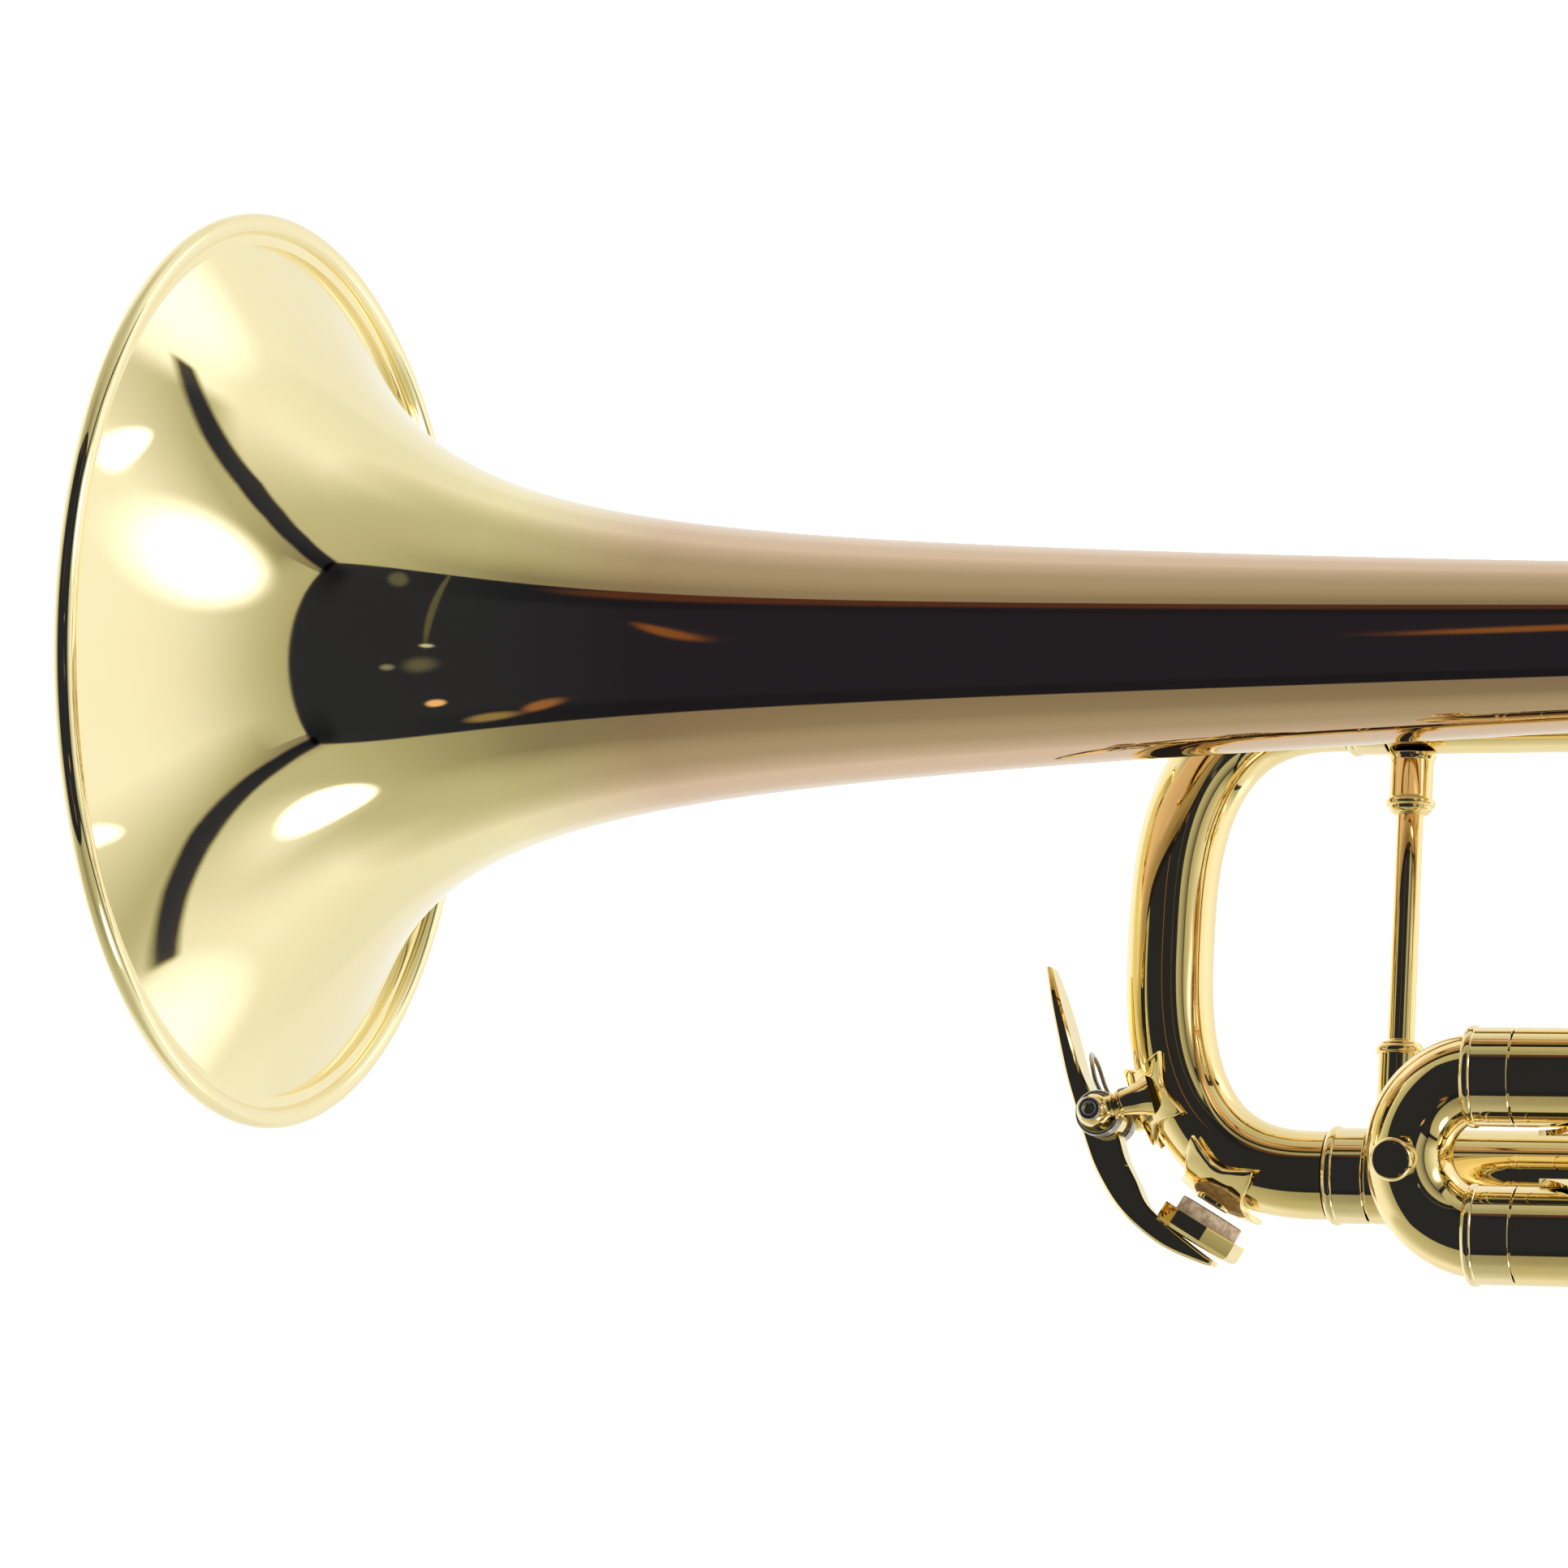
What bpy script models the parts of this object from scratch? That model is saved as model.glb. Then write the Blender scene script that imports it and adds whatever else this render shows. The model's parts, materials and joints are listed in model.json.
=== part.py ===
"""Three-valve piston trumpet in B flat, built as the pieces it comes apart into.

Units in the design values are millimetres. The origin is the centre of the flat base of the middle
valve's bottom cap. +X points to the player, +Y to the player's right and +Z up along the valves.
"""

import math

import bmesh
import bpy
from mathutils import Matrix, Vector

MM = 0.001
GAP = 0.3  # between pieces that touch

# Bell
BELL_AXIS = (-19.0, 100.0)  # Y, Z
RIM_X = -285.0
RIM_RADIUS = 62.5
BEAD_RADIUS = 1.45
BELL_WALL = 0.6
BELL_END_X = 120.0
# Outer radius at a few distances from the rim; a smooth curve runs through them.
BELL_STATIONS = (
    (0.9, 58.9), (5.0, 51.6), (10.0, 44.5), (20.0, 33.8), (30.0, 27.4), (40.0, 23.4), (60.0, 19.3),
    (80.0, 16.8), (110.0, 14.2), (150.0, 12.2), (200.0, 9.7), (260.0, 8.1), (330.0, 7.1), (405.0, 6.5),
)
BELL_SEAM = 58.0  # distance from the rim at which the flare is brazed to the stem
FLARE_RINGS = (0.9, 4.0, 9.0, 15.0, 23.0, 34.0, 46.0, BELL_SEAM - GAP)
STEM_RINGS = (BELL_SEAM, 85.0, 120.0, 180.0, 260.0, 405.0)

# Bell bow and tail
TAIL_AXIS = (0.0, 34.0)
BOW_TUBE = 6.5
BOW_REAR_X = 165.0

# Valves, numbered from the player
VALVE_X = {1: 26.5, 2: 0.0, 3: -26.5}
CASING_RADIUS = 10.2
CASING_BORE = 8.6
PISTON_RADIUS = 8.3
STROKE = 16.5
CAP_BASE = 11.7  # height of a bottom cap
CASING_TOP = 134.0
TOP_CAP_FROM = 126.3
TOP_CAP_TO = 137.5
PISTON_SPAN = (21.0, 84.0)
GUIDE_SPAN = (85.0, 87.7)
RETAINER_SPAN = (129.0, 131.7)
STEM_RADIUS = 2.2
STEM_TOP = TOP_CAP_TO + STROKE + 1.5
SPRING_RADIUS = 5.0
SPRING_WIRE = 0.45
SPRING_TURNS = 5

# Tubing
OUTER_TUBE = 6.3
OUTER_WALL = 0.45
LEG_TUBE = 5.4
LEG_WALL = 0.5

# Leadpipe and tuning slide
LEADPIPE_AXIS = (17.0, 93.8)
TUNING_LOW_AXIS = (4.0, 32.1)
TUNING_SEAM_X = -136.6
TUNING_FERRULE_X = -142.0
TUNING_LEG_END_X = -60.0
CROOK_START_X = -142.3
CROOK_CENTRE_X = -143.0
CROOK_DEPTH = 22.5
CROOK_POWER = 2.65
CROOK_TUBE = 5.85
LEADPIPE_FRONT_X = -40.0
RECEIVER_X = 160.0
RECEIVER_END_X = 198.0
MOUTHPIECE_TIP_X = 175.0
BRACE_X = -133.5

# Third slide
THIRD_Y = -14.0
THIRD_UPPER_Z = 46.1
THIRD_LOWER_Z = 26.1
THIRD_SEAM_X = -113.6
THIRD_FERRULE_X = -119.8
THIRD_BOW_X = -117.85
THIRD_BOW_TUBE = 5.6
BOW_LEAD = 1.0  # straight stretch at each end of a bow, inside its ferrules
THIRD_LEG_END_X = -62.0

# First slide
FIRST_Y = -12.0
FIRST_UPPER_Z = 66.0
FIRST_LOWER_Z = 46.0
FIRST_SEAM_X = 75.0
FIRST_BOW_X = 86.5
FIRST_LEG_END_X = 44.5

# Second slide
SECOND_UPPER_Z = 62.0
SECOND_LOWER_Z = 42.0
SECOND_SEAM_Y = 32.0
SECOND_BOW_Y = 36.5
SECOND_LEG_END_Y = 12.5

# Water key, in the crook's own plane: X and the height along the crook's slanted axis
KEY_PIVOT = (-173.2, -24.3)
KEY_POST_REACH = 6.2
KEY_FOOT = (-167.3, -22.4)
KEY_FOOT_REACH = 5.0
KEY_BALL = 2.25
KEY_BAR_HALF = 2.0
NIPPLE_ROOT = (-154.6, -29.5)
NIPPLE_TILT = math.radians(60)
CUP_SHIFT = -0.8  # of the cup from the nipple, towards the pivot
CORK_SPAN = (7.9, 10.5)  # heights along the nipple's axis


def clear_scene():
    for obj in list(bpy.data.objects):
        bpy.data.objects.remove(obj, do_unlink=True)


def new_collection(name, hidden):
    collection = bpy.data.collections.new(name)
    bpy.context.scene.collection.children.link(collection)
    collection.hide_render = hidden
    return collection


def new_look(name, colour, metallic, roughness):
    look = bpy.data.materials.new(name)
    look.use_nodes = True
    shader = look.node_tree.nodes["Principled BSDF"]
    shader.inputs["Base Color"].default_value = (*colour, 1.0)
    shader.inputs["Metallic"].default_value = metallic
    shader.inputs["Roughness"].default_value = roughness
    return look


clear_scene()
PARTS = new_collection("trumpet", False)
CUTTERS = new_collection("cutters", True)
BRASS = new_look("lacquered_brass", (0.83, 0.60, 0.22), 1.0, 0.12)
PALE_BRASS = new_look("pale_brass", (0.86, 0.68, 0.32), 1.0, 0.15)
STEEL = new_look("steel", (0.62, 0.62, 0.62), 1.0, 0.25)
MONEL = new_look("monel", (0.70, 0.69, 0.66), 1.0, 0.22)
SILVER = new_look("silver_plate", (0.86, 0.86, 0.84), 1.0, 0.10)
CORK = new_look("cork", (0.78, 0.62, 0.42), 0.0, 0.85)


def along(axis_yz, x):
    """The point at x on a line that runs along X at the given Y and Z."""
    return Vector((x, axis_yz[0], axis_yz[1]))


def frame_at(origin, direction):
    turn = Vector((0, 0, 1)).rotation_difference(Vector(direction).normalized())
    return Matrix.Translation(Vector(origin) * MM) @ turn.to_matrix().to_4x4()


def add(name, data, look, matrix=None, collection=None):
    obj = bpy.data.objects.new(name, data)
    (collection or PARTS).objects.link(obj)
    if look is not None:
        data.materials.append(look)
    if matrix is not None:
        obj.matrix_world = matrix
    return obj


def turned(name, profile, origin, direction, look, steps=24, collection=None):
    """A turned piece: (radius, height) points, down its outer side and back up its bore.

    A profile that starts and ends on the axis makes a solid piece; any other is a closed ring.
    """
    count = len(profile)
    points = [(radius * MM, 0.0, height * MM) for radius, height in profile]
    edges = [(i, i + 1) for i in range(count - 1)]
    if profile[0][0] > 0 or profile[-1][0] > 0:
        edges.append((count - 1, 0))
    data = bpy.data.meshes.new(name)
    data.from_pydata(points, edges, [])
    obj = add(name, data, look, frame_at(origin, direction), collection)
    screw = obj.modifiers.new("turn", "SCREW")
    screw.steps = steps
    screw.render_steps = steps
    screw.use_merge_vertices = True
    screw.merge_threshold = 0.00001
    screw.use_smooth_shade = True
    return obj


def swept(name, path, radius, look, wall=0.0, sides=12, collection=None):
    """A bent tube along a path of points, solid when it has no wall."""
    data = bpy.data.curves.new(name, "CURVE")
    data.dimensions = "3D"
    data.bevel_depth = radius * MM
    data.bevel_resolution = (sides - 4) // 2
    data.use_fill_caps = wall == 0
    spline = data.splines.new("POLY")
    spline.points.add(len(path) - 1)
    for point, place in zip(spline.points, path):
        point.co = (*(Vector(place) * MM), 1.0)
    obj = add(name, data, look, None, collection)
    if wall:
        shell = obj.modifiers.new("wall", "SOLIDIFY")
        shell.thickness = wall * MM
        shell.offset = -1.0
    return obj


def as_mesh(obj):
    """Replaces a curve or a modified object by its finished mesh, with loose caps welded on."""
    bpy.context.view_layer.update()
    graph = bpy.context.evaluated_depsgraph_get()
    data = bpy.data.meshes.new_from_object(obj.evaluated_get(graph))
    work = bmesh.new()
    work.from_mesh(data)
    bmesh.ops.remove_doubles(work, verts=work.verts, dist=0.000005)
    bmesh.ops.recalc_face_normals(work, faces=work.faces)
    work.to_mesh(data)
    work.free()
    data.shade_smooth()
    data.set_sharp_from_angle(angle=math.radians(40))
    name = obj.name
    matrix = obj.matrix_world.copy()
    collection = obj.users_collection[0]
    bpy.data.objects.remove(obj, do_unlink=True)
    made = bpy.data.objects.new(name, data)
    collection.objects.link(made)
    made.matrix_world = matrix
    return made


def combine(obj, others, operation):
    """Joins or cuts a mesh with others, which become hidden helpers."""
    for other in others:
        for collection in list(other.users_collection):
            collection.objects.unlink(other)
        CUTTERS.objects.link(other)
        other.hide_render = True
        other.display_type = "WIRE"
        boolean = obj.modifiers.new(operation.lower(), "BOOLEAN")
        boolean.operation = operation
        boolean.solver = "EXACT"
        boolean.object = other
    return obj


def ring_profile(outer, inner, low, high):
    return [(outer, high), (outer, low), (inner, low), (inner, high)]


def rod_profile(radius, low, high):
    return [(0.0, high), (radius, high), (radius, low), (0.0, low)]


def arc(centre, first, second, start, end, count):
    """Points from angle start to end, where first and second are the arc's two radius vectors."""
    points = []
    for i in range(count + 1):
        angle = math.radians(start + (end - start) * i / count)
        points.append(Vector(centre) + Vector(first) * math.cos(angle) + Vector(second) * math.sin(angle))
    return points


# ---------------------------------------------------------------------------------- bell

def bell_radius(distance):
    """Outer radius at a distance from the rim: a Catmull-Rom curve through the stations."""
    spots = [(math.log(d + 8.0), math.log(r)) for d, r in BELL_STATIONS]
    x = math.log(distance + 8.0)
    i = 0
    while i < len(spots) - 2 and x > spots[i + 1][0]:
        i += 1
    slopes = []
    for k in (i, i + 1):
        before = spots[max(k - 1, 0)]
        after = spots[min(k + 1, len(spots) - 1)]
        slopes.append((after[1] - before[1]) / (after[0] - before[0]))
    width = spots[i + 1][0] - spots[i][0]
    t = (x - spots[i][0]) / width
    value = (
        (2 * t**3 - 3 * t**2 + 1) * spots[i][1]
        + (t**3 - 2 * t**2 + t) * width * slopes[0]
        + (3 * t**2 - 2 * t**3) * spots[i + 1][1]
        + (t**3 - t**2) * width * slopes[1]
    )
    return math.exp(value)


def bell_inner(distance):
    """The point of the bell's inner side that lies one wall in from the outer side."""
    step = 0.2
    rise = (bell_radius(distance + step) - bell_radius(distance - step)) / (2 * step)
    length = math.hypot(1.0, rise)
    return (bell_radius(distance) - BELL_WALL / length, distance + BELL_WALL * rise / length)


def make_bell():
    """A two-piece bell: the flare with its rolled rim, and the stem that runs back from it."""
    outer = [(bell_radius(d), d) for d in reversed(FLARE_RINGS)]
    bead_centre = RIM_RADIUS - BEAD_RADIUS
    bead = []
    for degrees in (170, 110, 50, -10):
        angle = math.radians(degrees)
        bead.append((bead_centre + BEAD_RADIUS * math.cos(angle), BEAD_RADIUS * (1 + math.sin(angle))))
    front = [(bead_centre + 0.4, 0.0), (bead_centre - 0.8, 0.0)]
    inner = [bell_inner(d) for d in FLARE_RINGS[1:]]
    rim = along(BELL_AXIS, RIM_X)
    turned("bell_flare", outer + bead + front + inner, rim, (1, 0, 0), BRASS, 32)
    outer = [(bell_radius(d), d) for d in reversed(STEM_RINGS)]
    inner = [(bell_radius(d) - BELL_WALL, d) for d in STEM_RINGS]
    turned("bell_stem", outer + inner, rim, (1, 0, 0), BRASS, 20)


def make_bell_bow():
    upper = along(BELL_AXIS, 0)
    lower = along(TAIL_AXIS, 0)
    middle = (upper + lower) / 2
    reach = (upper - lower) / 2
    centre_x = BOW_REAR_X - BOW_TUBE - reach.length
    centre = middle + Vector((centre_x, 0, 0))
    bend = arc(centre, reach, Vector((reach.length, 0, 0)), 0, 180, 12)
    start = along(BELL_AXIS, BELL_END_X + GAP)
    end = along(TAIL_AXIS, VALVE_X[1] + CASING_RADIUS + GAP)
    swept("bell_bow", [start] + bend + [end], BOW_TUBE, BRASS, BELL_WALL, 10)
    ferrule = ring_profile(BOW_TUBE + 0.9, BOW_TUBE + GAP, BELL_END_X - 8, BELL_END_X + 4)
    turned("bell_bow_ferrule", ferrule, along(BELL_AXIS, 0), (1, 0, 0), PALE_BRASS, 14)


# ---------------------------------------------------------------------------------- valves

def port(name, valve, height, yaw):
    """A cutter for one opening in a casing, at a height and a compass angle."""
    direction = (math.cos(math.radians(yaw)), math.sin(math.radians(yaw)), 0)
    place = Vector((VALVE_X[valve], 0, height)) + Vector(direction) * CASING_RADIUS
    return turned(name, rod_profile(5.0, -4.0, 4.0), place, direction, None, 8, CUTTERS)


PORTS = {
    1: ((TAIL_AXIS[1], 0), (FIRST_UPPER_Z, -50), (FIRST_LOWER_Z, -50), (52.0, 180)),
    2: ((62.0, 180), (52.0, 0), (SECOND_UPPER_Z, 90), (SECOND_LOWER_Z, 90)),
    3: ((TUNING_LOW_AXIS[1], 180), (THIRD_UPPER_Z, -125), (THIRD_LOWER_Z, -125), (62.0, 0)),
}


def make_casing(valve):
    profile = [
        (9.3, CASING_TOP), (9.3, 126.0), (10.6, 126.0), (10.6, 118.0), (CASING_RADIUS, 117.0),
        (CASING_RADIUS, 16.0), (10.6, 15.0), (10.6, 12.0), (9.3, 12.0), (9.3, 3.0),
        (CASING_BORE, 3.0), (CASING_BORE, CASING_TOP),
    ]
    centre = (VALVE_X[valve], 0, 0)
    casing = as_mesh(turned(f"valve_casing_{valve}", profile, centre, (0, 0, 1), BRASS, 18))
    cutters = [port(f"port_{valve}_{i}", valve, *spot) for i, spot in enumerate(PORTS[valve])]
    combine(casing, cutters, "DIFFERENCE")


def make_caps(valve):
    centre = (VALVE_X[valve], 0, 0)
    hollow = [(0.0, 2.4), (9.6, 2.4), (9.6, CAP_BASE)]
    outside = [(11.2, CAP_BASE), (11.2, 2.0), (9.8, 0.0), (0.0, 0.0)]
    turned(f"bottom_cap_{valve}", hollow + outside, centre, (0, 0, 1), PALE_BRASS, 16)
    top = [
        (4.6, TOP_CAP_TO), (9.4, TOP_CAP_TO), (11.0, TOP_CAP_TO - 1.8), (11.0, TOP_CAP_FROM),
        (9.6, TOP_CAP_FROM), (9.6, TOP_CAP_TO - 2.5), (4.6, TOP_CAP_TO - 2.5),
    ]
    turned(f"top_cap_{valve}", top, centre, (0, 0, 1), PALE_BRASS, 16)


def make_piston(valve):
    centre = (VALVE_X[valve], 0, 0)
    profile = [
        (0.0, STEM_TOP), (STEM_RADIUS, STEM_TOP), (STEM_RADIUS, RETAINER_SPAN[1]),
        (7.0, RETAINER_SPAN[1]), (7.0, RETAINER_SPAN[0]), (STEM_RADIUS, RETAINER_SPAN[0]),
        (STEM_RADIUS, PISTON_SPAN[1]), (PISTON_RADIUS, PISTON_SPAN[1]),
        (PISTON_RADIUS, PISTON_SPAN[0]), (0.0, PISTON_SPAN[0]),
    ]
    piston = as_mesh(turned(f"piston_{valve}", profile, centre, (0, 0, 1), MONEL, 18))
    cutters = []
    for i, (height, yaw, slope) in enumerate(((33.0, 20, 0.35), (52.0, 100, -0.3), (69.0, 160, 0.2))):
        direction = (math.cos(math.radians(yaw)), math.sin(math.radians(yaw)), slope)
        place = (VALVE_X[valve], 0, height)
        name = f"coquille_{valve}_{i}"
        cutters.append(turned(name, rod_profile(4.6, -14, 14), place, direction, None, 8, CUTTERS))
    combine(piston, cutters, "DIFFERENCE")


def make_valve_top(valve):
    centre = (VALVE_X[valve], 0, 0)
    guide = ring_profile(CASING_BORE - GAP, STEM_RADIUS + 0.5, *GUIDE_SPAN)
    turned(f"valve_guide_{valve}", guide, centre, (0, 0, 1), MONEL, 16)
    base = STEM_TOP + GAP
    button = [
        (0.0, base + 5.2), (5.4, base + 5.0), (7.2, base + 4.6), (7.6, base + 3.6),
        (7.2, base + 2.6), (4.0, base + 1.4), (3.4, base), (0.0, base),
    ]
    turned(f"finger_button_{valve}", button, centre, (0, 0, 1), PALE_BRASS, 16)
    low = GUIDE_SPAN[1] + GAP + SPRING_WIRE
    high = RETAINER_SPAN[0] - GAP - SPRING_WIRE
    count = SPRING_TURNS * 8
    coil = []
    for i in range(count + 1):
        angle = 2 * math.pi * SPRING_TURNS * i / count
        x = VALVE_X[valve] + SPRING_RADIUS * math.cos(angle)
        coil.append(Vector((x, SPRING_RADIUS * math.sin(angle), low + (high - low) * i / count)))
    swept(f"valve_spring_{valve}", coil, SPRING_WIRE, STEEL, 0.0, 4)


def make_passage(name, left, right, height):
    """A short tube between two casings, cut to fit round both."""
    centre = Vector(((VALVE_X[left] + VALVE_X[right]) / 2, 0, height))
    tube = as_mesh(turned(name, ring_profile(5.9, 5.0, -6.5, 6.5), centre, (1, 0, 0), BRASS, 12))
    cutters = []
    for valve in (left, right):
        place = (VALVE_X[valve], 0, height)
        profile = rod_profile(CASING_RADIUS + GAP + 0.1, -8, 8)
        cutters.append(turned(f"{name}_fit_{valve}", profile, place, (0, 0, 1), None, 24, CUTTERS))
    combine(tube, cutters, "DIFFERENCE")


# ---------------------------------------------------------------------------------- leadpipe

def make_leadpipe():
    axis = along(LEADPIPE_AXIS, 0)
    start = LEADPIPE_FRONT_X + GAP
    pipe = [(5.0, RECEIVER_X), (6.0, start), (5.3, start), (4.3, RECEIVER_X)]
    turned("leadpipe", pipe, axis, (1, 0, 0), BRASS, 14)
    low = RECEIVER_X + GAP
    receiver = [
        (7.6, RECEIVER_END_X), (7.6, 193.5), (6.6, 192.0), (6.3, 176.0), (7.0, 174.0), (7.0, 171.0),
        (6.0, 169.0), (5.6, low), (3.9, low), (4.2, 172.0), (4.65, 173.0), (5.25, RECEIVER_END_X),
    ]
    turned("mouthpiece_receiver", receiver, axis, (1, 0, 0), PALE_BRASS, 14)


def make_mouthpiece():
    tip = MOUTHPIECE_TIP_X
    outer = [
        (11.6, 87.6), (13.0, 86.8), (13.5, 84.4), (13.2, 81.6), (12.2, 79.0), (12.4, 75.0), (11.2, 68.5),
        (8.2, 61.0), (5.7, 51.0), (4.9, 39.0), (5.6, 34.0), (5.6, 30.5), (4.9, 29.0), (4.3, 0.0),
    ]
    inner = [
        (3.4, 0.0), (1.9, 62.0), (1.9, 70.0), (3.6, 72.5), (6.6, 76.5), (8.0, 81.0), (8.5, 84.0), (9.3, 86.3),
    ]
    turned("mouthpiece", outer + inner, along(LEADPIPE_AXIS, tip), (1, 0, 0), SILVER, 14)


def make_tuning_slide():
    seam = TUNING_SEAM_X + GAP / 2
    for name, axis, end in (
        ("upper", LEADPIPE_AXIS, LEADPIPE_FRONT_X),
        ("lower", TUNING_LOW_AXIS, VALVE_X[3] - CASING_RADIUS - GAP),
    ):
        tube = ring_profile(OUTER_TUBE, OUTER_TUBE - OUTER_WALL, seam, end)
        turned(f"tuning_outer_{name}", tube, along(axis, 0), (1, 0, 0), BRASS, 12)
        step = CROOK_START_X + GAP + 1.5
        leg = beaded_leg(TUNING_LEG_END_X, TUNING_SEAM_X - GAP / 2, TUNING_FERRULE_X, step)
        turned(f"tuning_leg_{name}", leg, along(axis, 0), (1, 0, 0), PALE_BRASS, 12)
    swept("tuning_crook", crook_path(14), CROOK_TUBE, BRASS, LEG_WALL, 10)


def beaded_leg(end, seam, front, step):
    """A slide leg and its ferrule: the leg runs back from the seam, and the ferrule holds the bow."""
    return [
        (LEG_TUBE, end), (LEG_TUBE, seam), (OUTER_TUBE, seam), (OUTER_TUBE, front + 1.3),
        (OUTER_TUBE + 0.2, front + 0.9), (OUTER_TUBE + 0.2, front + 0.3), (OUTER_TUBE - 0.1, front),
        (OUTER_TUBE - 0.15, front), (OUTER_TUBE - 0.15, step), (LEG_TUBE - LEG_WALL, step),
        (LEG_TUBE - LEG_WALL, end),
    ]


CROOK_UP = (along(LEADPIPE_AXIS, 0) - along(TUNING_LOW_AXIS, 0)).normalized()
CROOK_HALF = (along(LEADPIPE_AXIS, 0) - along(TUNING_LOW_AXIS, 0)).length / 2
CROOK_MIDDLE = (along(LEADPIPE_AXIS, 0) + along(TUNING_LOW_AXIS, 0)) / 2
CROOK_SIDE = Vector((1, 0, 0)).cross(CROOK_UP)


def in_crook(x, height, side=0.0):
    """A point from its X, its height along the crook's slanted axis and its distance to the left."""
    return CROOK_MIDDLE + Vector((x, 0, 0)) + CROOK_UP * height + CROOK_SIDE * side


def crook_path(count):
    """Half a superellipse, evenly stepped by angle, with a short straight start and end."""
    points = [in_crook(CROOK_START_X, CROOK_HALF)]
    for i in range(count + 1):
        angle = math.pi * i / count
        depth = CROOK_DEPTH * math.sin(angle) ** (2 / CROOK_POWER)
        height = CROOK_HALF * abs(math.cos(angle)) ** (2 / CROOK_POWER)
        points.append(in_crook(CROOK_CENTRE_X - depth, math.copysign(height, math.cos(angle))))
    points.append(in_crook(CROOK_START_X, -CROOK_HALF))
    return points


def make_tuning_brace():
    """The slanted brace between the two outer tubes: a rod in a beaded socket at each end."""
    top = CROOK_HALF - OUTER_TUBE - GAP
    profile = [
        (0.0, top), (3.2, top), (2.9, top - 1.0), (2.9, 18.6), (3.3, 18.2), (3.3, 17.4), (2.7, 16.8),
        (1.8, 16.8), (1.8, -13.6), (2.7, -13.6), (3.2, -14.2), (3.2, -15.0), (2.9, -15.4), (2.9, 1.0 - top),
        (3.2, -top), (0.0, -top),
    ]
    turned("tuning_brace", profile, in_crook(BRACE_X, 0), CROOK_UP, BRASS, 10)


# ---------------------------------------------------------------------------------- water key

NIPPLE_WAY = (Vector((-math.cos(NIPPLE_TILT), 0, 0)) - CROOK_UP * math.sin(NIPPLE_TILT)).normalized()


def make_nipple():
    profile = [(2.4, 7.6), (2.4, 6.9), (4.0, 6.7), (4.0, 6.2), (1.0, 6.2), (1.0, 7.6)]
    turned("water_key_nipple", profile, in_crook(*NIPPLE_ROOT), NIPPLE_WAY, BRASS, 12)


def make_posts():
    """Two posts stand on the crook's shoulders and hold the pivot between their ball ends."""
    for name, side in (("near", 1), ("far", -1)):
        foot = in_crook(*KEY_FOOT, side * KEY_FOOT_REACH)
        ball = in_crook(*KEY_PIVOT, side * KEY_POST_REACH)
        way = foot - ball
        long = way.length
        profile = [(0.0, long), (1.7, long), (1.7, long - 0.7), (1.2, long - 1.4), (1.1, 1.6)]
        for degrees in (40, 0, -45):
            angle = math.radians(degrees)
            profile.append((KEY_BALL * math.cos(angle), KEY_BALL * math.sin(angle)))
        profile.append((0.0, -KEY_BALL))
        turned(f"water_key_post_{name}", profile, ball, way, BRASS, 12)
    reach = KEY_POST_REACH - KEY_BALL - GAP
    turned("water_key_pivot", rod_profile(1.0, -reach, reach), in_crook(*KEY_PIVOT), CROOK_SIDE, STEEL, 12)
    coil = ring_profile(2.6, 1.4, KEY_BAR_HALF + GAP, reach)
    turned("water_key_spring", coil, in_crook(*KEY_PIVOT), CROOK_SIDE, STEEL, 14)


def flat_bar(name, outline, half_width, look):
    """A bar cut to an outline in the crook's plane and as wide as twice half_width across it."""
    data = bpy.data.curves.new(name, "CURVE")
    data.dimensions = "2D"
    data.fill_mode = "BOTH"
    data.extrude = half_width * MM
    spline = data.splines.new("POLY")
    spline.points.add(len(outline) - 1)
    for point, (x, height) in zip(spline.points, outline):
        point.co = (x * MM, height * MM, 0.0, 1.0)
    spline.use_cyclic_u = True
    turn = Matrix((Vector((1, 0, 0)), CROOK_UP, CROOK_SIDE)).transposed().to_4x4()
    return as_mesh(add(name, data, look, Matrix.Translation(CROOK_MIDDLE * MM) @ turn))


LEVER_OUTLINE = (
    (-182.3, -4.0), (-180.2, -12.2), (-178.6, -18.5), (-177.4, -22.4), (-175.6, -27.6), (-173.8, -31.7),
    (-171.0, -36.0), (-167.9, -39.0), (-163.9, -41.7), (-159.0, -43.6), (-157.5, -43.1), (-162.1, -39.9),
    (-166.2, -36.6), (-168.0, -32.6), (-169.7, -30.0), (-170.6, -26.0), (-172.4, -22.0), (-176.4, -18.2),
    (-179.4, -10.5), (-181.7, -4.0),
)


def make_lever():
    lever = flat_bar("water_key_lever", LEVER_OUTLINE, KEY_BAR_HALF, BRASS)
    pivot = in_crook(*KEY_PIVOT)
    root = in_crook(*NIPPLE_ROOT) + NIPPLE_WAY.cross(CROOK_SIDE) * CUP_SHIFT
    hub = rod_profile(2.5, -KEY_BAR_HALF, KEY_BAR_HALF)
    barrel = turned("key_barrel", hub, pivot, CROOK_SIDE, None, 12, CUTTERS)
    dish = turned("key_cup", cup_profile(), root, NIPPLE_WAY, None, 12, CUTTERS)
    combine(lever, [barrel, dish], "UNION")
    bore = turned("key_bore", rod_profile(1.3, -4, 4), pivot, CROOK_SIDE, None, 10, CUTTERS)
    combine(lever, [bore], "DIFFERENCE")
    cork = rod_profile(4.5, *CORK_SPAN)
    turned("water_key_cork", cork, root, NIPPLE_WAY, CORK, 12)


def cup_profile():
    """The dish that holds the cork, its open side towards the nipple."""
    floor = CORK_SPAN[1] + GAP
    return [
        (0.0, floor + 1.7), (5.5, floor + 1.7), (6.0, floor + 1.2), (6.0, 9.9), (4.9, 9.9), (4.9, floor),
        (0.0, floor),
    ]


# ---------------------------------------------------------------------------------- slides

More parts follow.
